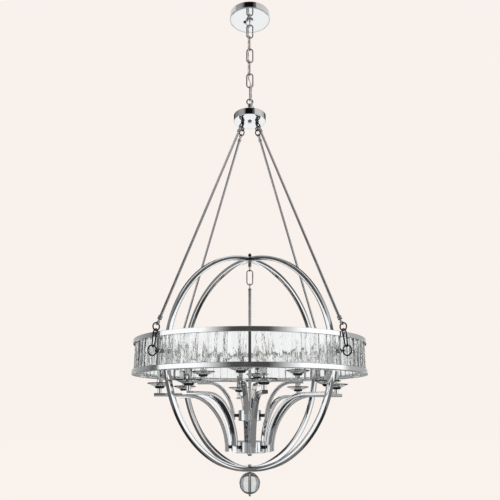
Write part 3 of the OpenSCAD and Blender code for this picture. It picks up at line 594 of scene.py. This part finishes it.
def crystal_bar(seed, half_in, half_out, r_in, r_out, height):
    """One cut bar: bevelled edges and ends, and nearly upright facets that differ on each bar."""
    draw = random.Random(seed)
    deselect()
    depth = r_out - r_in
    bpy.ops.mesh.primitive_cube_add(size=MM, location=(0, -(r_in + depth / 2) * MM, 0))
    obj = bpy.context.object
    edit(obj)
    bpy.ops.transform.resize(
        value=(2 * half_out, depth, height), center_override=(0, -(r_in + depth / 2) * MM, 0)
    )

    def cut(point, normal):
        """Grinds one flat: what stands past the plane goes, and the cut is closed."""
        bpy.ops.mesh.select_all(action="SELECT")
        bpy.ops.mesh.bisect(
            plane_co=[v * MM for v in point], plane_no=normal, use_fill=True, clear_outer=True
        )

    for side in (-1, 1):
        taper = math.atan((half_out - half_in) / depth)
        cut((side * half_out, -r_out, 0), (side * math.cos(taper), math.sin(taper), 0))
        cut(
            (side * (half_out - EDGE_CHAMFER), -r_out, 0),
            (side * 0.8, -0.6, draw.uniform(-0.01, 0.01)),
        )
        for _ in range(2):
            x = side * draw.uniform(half_out * 0.2, half_out * 0.75)
            cut(
                (x, -r_out + draw.uniform(0.1, 0.9), 0),
                (side * draw.uniform(0.12, 0.6), -1, draw.uniform(-0.02, 0.02)),
            )
    for end in (-1, 1):
        cut((0, -r_out, end * (height / 2 - END_CHAMFER)), (0, -0.7, end * 0.7))
    obj = close(obj, "crystal", 5)
    bpy.ops.object.shade_flat()
    return obj


class CHANDELIER_OT_crystals(bpy.types.Operator):
    """Eighty cut crystal bars, ten between each two posts"""

    bl_idname = "chandelier.crystals"
    bl_label = "Crystal bars"

    def execute(self, context):
        height = high("crystal_bars") - low("crystal_bars")
        half = math.tan(math.radians(BAR_TURN / 2))
        halves = CRYSTAL_IN * half - BAR_GAP, CRYSTAL_OUT * half - BAR_GAP
        first = (POST_TURN + BAR_TURN) / 2
        bars = []
        for bay in range(BAYS):
            for k in range(BAY_BARS):
                bar = crystal_bar(bay * BAY_BARS + k, *halves, CRYSTAL_IN, CRYSTAL_OUT, height)
                near_hoop = (bay % 2 == 1 and k == 0) or (bay % 2 == 0 and k == BAY_BARS - 1)
                if near_hoop:
                    notch_crystal(bar, -1 if k == 0 else 1)
                turn = Matrix.Rotation(math.radians(bay * BAY_TURN + first + k * BAR_TURN), 4, "Z")
                bars.append(copies(bar, [Matrix.Translation((0, 0, DRUM_Z)) @ turn], "crystal"))
        bars = joined(bars, "crystal_bar_ring")
        finish(bars, MATERIALS["crystal"], "hoop_frame", "crystal", "crystal_bars")
        return {"FINISHED"}


def notch_crystal(bar, side):
    """Grinds a round notch in the long edge of a bar, for the collar of the post at a hoop."""
    deselect()
    half_turn = POST_TURN / 2 + BAR_TURN / 2
    x = side * POST_R * math.sin(math.radians(half_turn))
    bpy.ops.mesh.primitive_cylinder_add(
        vertices=40, radius=COLLAR_ROOM * MM, depth=60 * MM, location=(x * MM, -POST_R * MM, 0),
        rotation=(math.pi / 2, 0, 0),
    )
    cutter = bpy.context.object
    cutter.rotation_euler.z = math.radians(side * half_turn)
    notch = bar.modifiers.new("notch", "BOOLEAN")
    notch.object = cutter
    notch.solver = "EXACT"
    deselect()
    bar.select_set(True)
    bpy.context.view_layer.objects.active = bar
    bpy.ops.object.modifier_apply(modifier="notch")
    bpy.data.objects.remove(cutter)


class CHANDELIER_OT_crown(bpy.types.Operator):
    """Nut, loop and link at the hoops' crown, and the stem with its loop and nut"""

    bl_idname = "chandelier.crown"
    bl_label = "Crown and stem"

    def execute(self, context):
        dress(MATERIALS["chrome"], "stem_nut")
        dress(MATERIALS["tube"], "stem", "crown_loop", "crown_link", "stem_loop")
        dress(MATERIALS["dark_chrome"], "crown_nut")
        return {"FINISHED"}


# Where the candles stand: azimuths, and distance from the axis in mm
LOWER_TURNS = [7.8 + 45 * i for i in range(8)]
UPPER_TURNS = [-9.9 + 90 * i for i in range(4)]
LOWER_R, UPPER_R = 310, 168
ARM_W, ARM_T = 18, 11  # section of an arm
ARM_PAST = 18  # how far an arm goes on past its candle
FOOT_DROP = 15  # from a hub's middle down to the arms' feet
SPACER_L = 13.7  # between a hub and an arm


def bent_arm(name, start_r, foot_z, run, rise, end_r):
    """One arm at azimuth 0: a rounded bar, extruded up, spun through two arcs and extruded level.

    The first arc is wide and the second small, an eighth of a turn each. Together they go out by
    run and up by rise, which gives their two radii.
    """
    foot = 6
    round_edge = 1.1
    eighth = math.pi / 4
    apart = (rise - run) / (2 * math.sin(eighth) - 1)
    small = run - apart * (1 - math.cos(eighth))
    big = small + apart
    deselect()
    middle = (0, -start_r * MM, foot_z * MM)
    bpy.ops.mesh.primitive_plane_add(size=MM, location=middle)
    obj = bpy.context.object
    edit(obj)
    bpy.ops.transform.resize(value=(ARM_W, ARM_T, 1), center_override=middle)
    bpy.ops.mesh.bevel(offset=round_edge * MM, segments=3, affect="VERTICES")
    bpy.ops.mesh.extrude_region_move(TRANSFORM_OT_translate={"value": (0, 0, foot * MM)})
    turn_z = (foot_z + foot) * MM
    level = (foot_z + foot + rise) * MM
    for center in (
        (0, -(start_r + big) * MM, turn_z),
        (0, -(start_r + run) * MM, level - small * MM),
    ):
        bpy.ops.mesh.spin(steps=14, angle=eighth, center=center, axis=(-1, 0, 0))
    bpy.ops.mesh.extrude_region_move(
        TRANSFORM_OT_translate={"value": (0, -(end_r - start_r - run) * MM, 0)}
    )
    return close(obj, name, 32)


class CHANDELIER_OT_arms(bpy.types.Operator):
    """Twelve bent arms on two round hubs, with their spacers"""

    bl_idname = "chandelier.arms"
    bl_label = "Arms"

    def execute(self, context):
        for level, run, rise, candle_r, turns in (
            ("lower", 147, 178.5, LOWER_R, LOWER_TURNS),
            ("upper", 92, 120, UPPER_R, UPPER_TURNS),
        ):
            node = f"{level}_hub"
            foot_z = (high(node) + low(node)) / 2 - FOOT_DROP
            start = high(node, 0) + SPACER_L + ARM_T / 2
            arm = bent_arm("arm", start, foot_z, run, rise, candle_r + ARM_PAST)
            arm = copies(arm, [at(t, 0, 0) for t in turns], f"{level}_arm_set")
            finish(arm, MATERIALS["chrome"], "candelabra", "chrome", f"{level}_arms")
        for node in ("lower_hub", "upper_hub"):
            r, top, base = high(node, 0), high(node), low(node)
            bore = 5.3
            hub = turned(
                f"{node}_drum",
                [
                    (bore, top), (bore + 0.6, top), (r - 2.2, top), (r - 1.6, top),
                    (r - 0.5, top - 0.5), (r, top - 1.6), (r, top - 2.2), (r, base + 2.2),
                    (r, base + 1.6), (r - 0.5, base + 0.5), (r - 1.6, base), (r - 2.2, base),
                    (bore + 0.6, base), (bore, base), (bore, top),
                ],
                96,
            )
            finish(hub, MATERIALS["chrome"], "candelabra", "chrome", node)
        dress(MATERIALS["dark_chrome"], "arm_spacers")
        return {"FINISHED"}


CANDLE_STEP = 43.5  # from the lower candles up to the upper ones
CANDLE_BORE = 3.2  # radius of the hole for the threaded stub


class CHANDELIER_OT_candles(bpy.types.Operator):
    """Stubs, drip cups, glass saucers, sleeves, sockets and bulbs of the twelve candles"""

    bl_idname = "chandelier.candles"
    bl_label = "Candles"

    def execute(self, context):
        lower_z = low("drip_cups")
        upper_z = lower_z + CANDLE_STEP
        places = [at(t, LOWER_R, lower_z) for t in LOWER_TURNS]
        places += [at(t, UPPER_R, upper_z) for t in UPPER_TURNS]
        bore = CANDLE_BORE
        cup = turned(
            "cup",
            [
                (bore, 0), (8, 0), (10.4, 0.2), (12.8, 0.8), (14.9, 2), (16.3, 3.6), (17, 5.5),
                (16.9, 6.1), (16.3, 6), (15.2, 4.3), (13, 2.9), (10, 2), (7.6, 1.5), (7, 5.6),
                (6.6, 5.9), (bore, 5.9), (bore, 0),
            ],
            48,
        )
        cup = copies(cup, places, "drip_cup_set")
        finish(cup, MATERIALS["dark_chrome"], "candelabra", "chrome", "drip_cups")
        z = 6.2
        saucer = turned(
            "saucer",
            [
                (bore, z), (15.4, z), (17.5, z + 0.4), (20.5, z + 1.3), (29.5, z + 4.5),
                (37, z + 7.8), (41, z + 9.8), (42.5, z + 10.7), (43, z + 11.6), (42.6, z + 12.5),
                (41.6, z + 12.8), (40, z + 12.2), (36, z + 10.2), (28.5, z + 6.9), (19.8, z + 3.7),
                (16.8, z + 2.7), (14.6, z + 2.5), (bore, z + 2.5), (bore, z),
            ],
            72,
        )
        saucer = copies(saucer, places, "glass_saucer_set")
        finish(saucer, MATERIALS["glass"], "candelabra", "crystal", "glass_saucers")
        z = 9.0
        seat = turned(
            "seat",
            [
                (bore, z), (14.2, z), (14.9, z + 0.3), (15, z + 0.9), (14.2, z + 1.8),
                (12.9, z + 3.2), (12, z + 4.8), (11.6, z + 6.4), (11.2, z + 7), (bore, z + 7),
                (bore, z),
            ],
            48,
        )
        seat = copies(seat, places, "sleeve_seat_set")
        finish(seat, MATERIALS["chrome"], "candelabra", "chrome", "sleeve_seats")
        z = 16.3
        sleeve = turned(
            "sleeve",
            [
                (10.5, z + 0.4), (10.5, z + 46.4), (10.1, z + 47), (9.7, z + 47), (9.5, z + 46.6),
                (9.5, z), (10.2, z), (10.5, z + 0.4),
            ],
            40,
        )
        sleeve = copies(sleeve, places, "candle_sleeve_set")
        finish(sleeve, MATERIALS["chrome"], "candelabra", "chrome", "candle_sleeves")
        z += 47
        bulb = turned(
            "bulb",
            [
                (0, z - 4), (5.8, z - 4), (6, z), (8, z + 4), (11.8, z + 9), (14.6, z + 15),
                (15.9, z + 23), (15.7, z + 31), (14, z + 40), (11.2, z + 49), (7.8, z + 58),
                (4.6, z + 66), (2.2, z + 71.6), (0, z + 74.6),
            ],
            40,
        )
        bulb = copies(bulb, places, "bulb_glass_set")
        finish(bulb, MATERIALS["bulb"], "candelabra", "bulb_glass", "bulbs")
        dress(MATERIALS["chrome"], "candle_stubs")
        dress(MATERIALS["plastic"], "lamp_sockets")
        return {"FINISHED"}


class CHANDELIER_OT_ball(bpy.types.Operator):
    """Glass ball under the hoops, with its rod, nut and tip"""

    bl_idname = "chandelier.ball"
    bl_label = "Glass ball"

    def execute(self, context):
        r = high("glass_ball", 0)
        z = (high("glass_ball") + low("glass_ball")) / 2
        bore = 3.3
        start = math.asin(bore / r)
        steps = 48
        turns = [start + (math.pi - 2 * start) * k / steps for k in range(steps + 1)]
        profile = [(r * math.sin(turn), z + r * math.cos(turn)) for turn in turns]
        ball = turned("clear_ball", profile + [profile[0]], 96, 60)
        finish(ball, MATERIALS["ball"], "hoop_frame", "crystal", "glass_ball")
        dress(MATERIALS["chrome"], "ball_rod", "ball_rod_nut", "ball_tip")
        return {"FINISHED"}


# Stage


CARD_MOST = 2.0  # the brightest that a card can be; a ramp's colours end at 1


def glowing(obj, name, stops, glossy=True, glass=False):
    """Turns an object into a card that only reflections, or rays out of glass, see.

    Stops are azimuth and brightness.
    """
    material = bpy.data.materials.new(name)
    material.use_nodes = True
    tree = material.node_tree
    tree.nodes.clear()
    place = add(tree, "ShaderNodeTexCoord")
    round_it = add(
        tree, "ShaderNodeTexGradient", {"Vector": place.outputs["Object"]}, gradient_type="RADIAL"
    )
    ramp = add(tree, "ShaderNodeValToRGB", {"Fac": round_it.outputs["Fac"]})
    points = sorted(((turn + 90) % 360 / 360, level) for turn, level in stops)
    colour = ramp.color_ramp
    colour.elements[0].position, colour.elements[1].position = points[0][0], points[-1][0]
    for position, _ in points[1:-1]:
        colour.elements.new(position)
    for element, (_, level) in zip(colour.elements, points):
        element.color = (*[level / CARD_MOST] * 3, 1)
    glow = add(tree, "ShaderNodeEmission", {"Color": ramp.outputs["Color"], "Strength": CARD_MOST})
    out = add(tree, "ShaderNodeOutputMaterial")
    tree.links.new(glow.outputs["Emission"], out.inputs["Surface"])
    obj.data.materials.clear()
    obj.data.materials.append(material)
    obj.name = name
    obj.visible_camera = False
    obj.visible_diffuse = False
    obj.visible_glossy = glossy
    obj.visible_transmission = glass
    obj.visible_volume_scatter = False
    obj.visible_shadow = False


def seen_rays(tree):
    """One where the camera, metal or glass looks at the background, else zero."""
    rays = add(tree, "ShaderNodeLightPath")
    seen = rays.outputs["Is Camera Ray"]
    for other in ("Is Glossy Ray", "Is Transmission Ray"):
        either = {0: seen, 1: rays.outputs[other]}
        seen = add(tree, "ShaderNodeMath", either, operation="MAXIMUM").outputs[0]
    return seen


FLOOR_Z = CAD_BOX[0][2] - 0.5


def round_card(name, r, bottom, top, stops, glossy=True, glass=False):
    """A card all round the object, between two heights in metres."""
    deselect()
    bpy.ops.mesh.primitive_cylinder_add(
        vertices=144, radius=r, depth=top - bottom, end_fill_type="NOTHING",
        location=(0, 0, (top + bottom) / 2),
    )
    glowing(bpy.context.object, name, stops, glossy, glass)


def floor_card(name, x0, x1, y0, y1, level):
    """A card just over the floor, for reflections alone."""
    deselect()
    middle = ((x0 + x1) / 2, (y0 + y1) / 2, FLOOR_Z + 0.01)
    bpy.ops.mesh.primitive_plane_add(size=1, location=middle)
    obj = bpy.context.object
    obj.scale = (x1 - x0, y1 - y0, 1)
    glowing(obj, name, ((0, level), (180, level)))


# What the chrome reflects round the room: radius, heights, and brightness by azimuth
ROOM = (
    ("low_room_card", 4.2, -2.37, -1.45, (
        (-150, 0.3), (-112, 0.12), (-92, 0.12), (-85, 1.4), (-45, 1.45), (-30, 0.5), (-14, 0.3),
        (-5, 0.5), (0, 0.3), (6, 0.5), (14, 0.32), (30, 0.5), (47, 1.5), (98, 1.45), (108, 0.5),
        (150, 0.35), (180, 0.3))),
    ("middle_room_card", 4.2, -1.45, -0.38, (
        (-150, 0.6), (-104, 0.34), (-99, 0.14), (-94, 0.14), (-86, 1.4), (-43, 1.45), (-18, 0.08),
        (18, 0.08), (47, 1.5), (92, 1.45), (100, 0.6), (140, 0.5), (160, 1.1), (180, 1.1))),
    ("side_room_card", 4.2, -0.38, 0.5, (
        (-150, 0.3), (-90, 0.1), (-34, 0.09), (0, 0.05), (34, 0.09), (90, 0.12), (150, 0.3),
        (180, 0.3))),
    ("upper_room_card", 4.2, 0.5, 2.6, (
        (-134, 0.01), (-128, 0.3), (-90, 0.42), (-50, 0.5), (-34, 0.2), (-29, 0.006), (18, 0.006),
        (24, 0.14), (34, 0.16), (38, 0.85), (90, 0.85), (128, 0.4), (134, 0.01), (180, 0.01))),
    ("high_room_card", 4.2, 2.6, 4.6, (
        (-150, 0.9), (-90, 0.5), (-50, 0.4), (-34, 0.15), (-29, 0.006), (18, 0.006), (24, 0.14),
        (34, 0.16), (38, 0.75), (90, 0.85), (150, 0.9), (180, 0.9))),
)

# What it reflects below: left and right edge, near and far edge, brightness
FLOOR_CARDS = (
    ("front_floor_card", -4, 4, -4, -0.45, 0.3),
    ("far_left_floor_card", -4, -1.5, -0.45, 2.2, 0.16),
    ("left_floor_card", -1.5, -0.4, -0.45, 2.2, 0.03),
    ("near_left_floor_card", -0.4, -0.12, -0.45, 2.2, 0.14),
    ("middle_floor_card", -0.12, 0.12, -0.45, 2.2, 0.33),
    ("near_right_floor_card", 0.12, 0.6, -0.45, 2.2, 0.2),
    ("right_floor_card", 0.6, 1.5, -0.45, 2.2, 0.04),
    ("far_right_floor_card", 1.5, 4, -0.45, 2.2, 0.24),
    ("back_floor_card", -4, 4, 2.2, 4.4, 1.3),
)

# What glass sees at the sides: dark flags at these azimuths, before a pale wall
GLASS_FLAGS = (-141, -120, -98, -74, 71, 96, 118)

# Flags that the glass ball bends into its edge: size, place and turn, in metres and degrees, and
# brightness
BALL_FLAGS = (
    ("left_ball_flag", 0.5, 0.55, (-0.3, 0.05, -1.83), (0, 90, 0), 0.12),
    ("right_ball_flag", 0.5, 0.55, (0.3, 0.05, -1.83), (0, 90, 0), 0.12),
    ("far_left_ball_flag", 0.7, 0.4, (-0.32, 0.5, -1.86), (0, 90, 0), 0.45),
    ("far_right_ball_flag", 0.7, 0.4, (0.32, 0.5, -1.86), (0, 90, 0), 0.45),
    ("upper_ball_flag", 0.6, 0.45, (0, 0.12, -1.62), (0, 0, 0), 0.1),
    ("lower_ball_flag", 0.6, 0.45, (0, 0.16, -2.06), (0, 0, 0), 0.1),
)


# Softboxes to the left and right, clear of the floor: distance and heights in metres, azimuth
LAMP_R, LAMP_Z, LAMP_AIM_Z, LAMP_TURN = 3.6, -0.6, -0.9, 62

# Brightness of the even light and of the floor's glow, and the share of the floor's paint that the
# lamps light, so that it keeps the object's shadow
WORLD_LIGHT, FLOOR_GLOW, FLOOR_PAINT = 0.85, 1.03, 0.15

# Camera, fitted to the photograph: place in metres, drop below the drum's middle in mm, degrees up
CAMERA_X, CAMERA_Y, CAMERA_DROP = 0.0008, -2.068, 185
CAMERA_PITCH = 15.79
CAMERA_LENS = 41.67


class CHANDELIER_OT_stage(bpy.types.Operator):
    """Pale room, floor, soft lamps, dark and grey cards, and the camera"""

    bl_idname = "chandelier.stage"
    bl_label = "Stage"

    def execute(self, context):
        scene = context.scene
        colours = scene.chandelier_colours
        pale = (*linear(colours.background), 1)
        scene.view_settings.view_transform = "Standard"

        world = bpy.data.worlds.new("studio")
        scene.world = world
        world.use_nodes = True
        tree = world.node_tree
        tree.nodes.clear()
        wall = add(tree, "ShaderNodeBackground", {"Color": pale, "Strength": 1.0})
        light = add(tree, "ShaderNodeBackground", {"Color": (1, 1, 1, 1), "Strength": WORLD_LIGHT})
        shaders = {1: light.outputs["Background"], 2: wall.outputs["Background"]}
        mix = add(tree, "ShaderNodeMixShader", {0: seen_rays(tree), **shaders})
        out = add(tree, "ShaderNodeOutputWorld")
        tree.links.new(mix.outputs["Shader"], out.inputs["Surface"])

        deselect()
        bpy.ops.mesh.primitive_plane_add(size=30, location=(0, 0, FLOOR_Z))
        floor = context.object
        floor.name = "studio_floor"
        material = bpy.data.materials.new("painted_studio_floor")
        material.use_nodes = True
        tree = material.node_tree
        tree.nodes.clear()
        unlit = {0: seen_rays(tree), 1: 1 - FLOOR_PAINT}
        share = add(tree, "ShaderNodeMath", unlit, operation="MULTIPLY")
        paint = add(tree, "ShaderNodeBsdfDiffuse", {"Color": pale})
        glow = add(tree, "ShaderNodeEmission", {"Color": pale, "Strength": FLOOR_GLOW})
        shaders = {1: paint.outputs["BSDF"], 2: glow.outputs["Emission"]}
        mix = add(tree, "ShaderNodeMixShader", {0: share.outputs[0], **shaders})
        out = add(tree, "ShaderNodeOutputMaterial")
        tree.links.new(mix.outputs["Shader"], out.inputs["Surface"])
        floor.data.materials.append(material)

        for row in ROOM:
            round_card(*row)
        for row in FLOOR_CARDS:
            floor_card(*row)
        pale_level, dark_level, upper_level = 0.95, 0.03, 0.12
        half_flag, half_shade = 2.2, 4  # half the width of a flag, and of it with its soft edges
        flags = [(0, 0.6), (180, pale_level)]
        for turn in GLASS_FLAGS:
            flags += [(turn - half_shade, pale_level), (turn - half_flag, dark_level)]
            flags += [(turn + half_flag, dark_level), (turn + half_shade, pale_level)]
        round_card("side_glass_card", 4.0, -2.36, 1.0, flags, glossy=False, glass=True)
        even = ((0, upper_level), (180, upper_level))
        round_card("upper_glass_card", 4.0, 1.0, 5.0, even, glossy=False, glass=True)
        for name, x, y, place, turn, level in BALL_FLAGS:
            deselect()
            bpy.ops.mesh.primitive_plane_add(
                size=1, location=place, rotation=[math.radians(v) for v in turn]
            )
            flag = context.object
            flag.scale = (x, y, 1)
            glowing(flag, name, ((0, level), (180, level)), glossy=False, glass=True)

        for name, side in (("left_softbox", -1), ("right_softbox", 1)):
            lamp = bpy.data.lights.new(name, "AREA")
            lamp.shape = "RECTANGLE"
            lamp.size, lamp.size_y = 1.6, 2.0
            lamp.energy = 20
            lamp.spread = math.radians(100)
            made = bpy.data.objects.new(name, lamp)
            context.collection.objects.link(made)
            made.visible_glossy = False
            made.visible_transmission = False
            turn = math.radians(side * LAMP_TURN)
            made.location = (LAMP_R * math.sin(turn), -LAMP_R * math.cos(turn), LAMP_Z)
            towards = Vector((0, 0, LAMP_AIM_Z)) - made.location
            made.rotation_euler = towards.to_track_quat("-Z", "Y").to_euler()

        camera = bpy.data.objects.new("camera", bpy.data.cameras.new("camera"))
        context.collection.objects.link(camera)
        camera.data.lens = CAMERA_LENS
        camera.location = (CAMERA_X, CAMERA_Y, (DRUM_Z - CAMERA_DROP) * MM)
        camera.rotation_euler = (math.radians(90 + CAMERA_PITCH), 0, 0)
        scene.camera = camera
        return {"FINISHED"}


# Settings, panel and registration


class ChandelierSizes(bpy.types.PropertyGroup):
    """Sizes of the modelled pieces"""

    cord_width: bpy.props.FloatProperty(
        name="Cord width",
        description="Width of the cord over both strands",
        default=5 * MM,
        unit="LENGTH",
    )
    cord_lay: bpy.props.FloatProperty(
        name="Cord lay",
        description="Length of one turn of the strands",
        default=55 * MM,
        unit="LENGTH",
    )
    hoop_bar: bpy.props.FloatProperty(
        name="Hoop bar",
        description="Side of the hoops' square bar",
        default=16 * MM,
        unit="LENGTH",
    )


class ChandelierColours(bpy.types.PropertyGroup):
    """Colours of the finishes, as sRGB hex values"""

    chrome: bpy.props.StringProperty(
        name="Chrome", description="Polished chrome plate", default="#D3D4D5"
    )
    # Painted shade: the chrome of the small forgings and drip cups, painted much darker than the
    # polished chrome
    dark_chrome: bpy.props.StringProperty(
        name="Dark chrome", description="Chrome on the small forgings", default="#434446"
    )
    # Partly painted shade: the chrome of the rods and chain, painted darker than the polished chrome
    tube: bpy.props.StringProperty(
        name="Tube", description="Chrome of the rods and chain", default="#B0B1B3"
    )
    band: bpy.props.StringProperty(
        name="Bands", description="Chrome of the drum's bands", default="#D8D9DA"
    )
    crystal: bpy.props.StringProperty(
        name="Crystal", description="Cut crystal bars", default="#FAFBFB"
    )
    glass: bpy.props.StringProperty(
        name="Glass", description="Pressed glass of the saucers", default="#F6F8F8"
    )
    ball: bpy.props.StringProperty(
        name="Ball", description="Thick glass of the ball", default="#DEE1E2"
    )
    cord: bpy.props.StringProperty(
        name="Cord", description="Bright strands in the clear cord", default="#D5D4D0"
    )
    background: bpy.props.StringProperty(
        name="Background", description="Pale studio wall", default="#F9F1EC"
    )


STEPS = (
    CHANDELIER_OT_stage, CHANDELIER_OT_cord, CHANDELIER_OT_canopy, CHANDELIER_OT_chain,
    CHANDELIER_OT_hub, CHANDELIER_OT_fittings, CHANDELIER_OT_hoops, CHANDELIER_OT_drum,
    CHANDELIER_OT_crystals, CHANDELIER_OT_crown, CHANDELIER_OT_arms, CHANDELIER_OT_candles,
    CHANDELIER_OT_ball,
)


class CHANDELIER_PT_panel(bpy.types.Panel):
    """Lists the chandelier's settings and its steps"""

    bl_label = "Chandelier"
    bl_space_type = "VIEW_3D"
    bl_region_type = "UI"
    bl_category = "Chandelier"

    def draw(self, context):
        column = self.layout.column()
        for settings in (context.scene.chandelier_sizes, context.scene.chandelier_colours):
            for name in settings.bl_rna.properties.keys():
                if name not in {"rna_type", "name"}:
                    column.prop(settings, name)
        for step in STEPS:
            column.operator(step.bl_idname)


CLASSES = (ChandelierSizes, ChandelierColours, *STEPS, CHANDELIER_PT_panel)


def register():
    """Registers the classes and the scene's settings."""
    for item in CLASSES:
        bpy.utils.register_class(item)
    bpy.types.Scene.chandelier_sizes = bpy.props.PointerProperty(type=ChandelierSizes)
    bpy.types.Scene.chandelier_colours = bpy.props.PointerProperty(type=ChandelierColours)


def unregister():
    """Takes the settings and the classes out again."""
    del bpy.types.Scene.chandelier_colours
    del bpy.types.Scene.chandelier_sizes
    for item in reversed(CLASSES):
        bpy.utils.unregister_class(item)


def main():
    """Builds everything in order."""
    register()
    MATERIALS.update(make_materials())
    for step in STEPS:
        group, name = step.bl_idname.split(".")
        getattr(getattr(bpy.ops, group), name)()


if __name__ == "__main__":
    main()
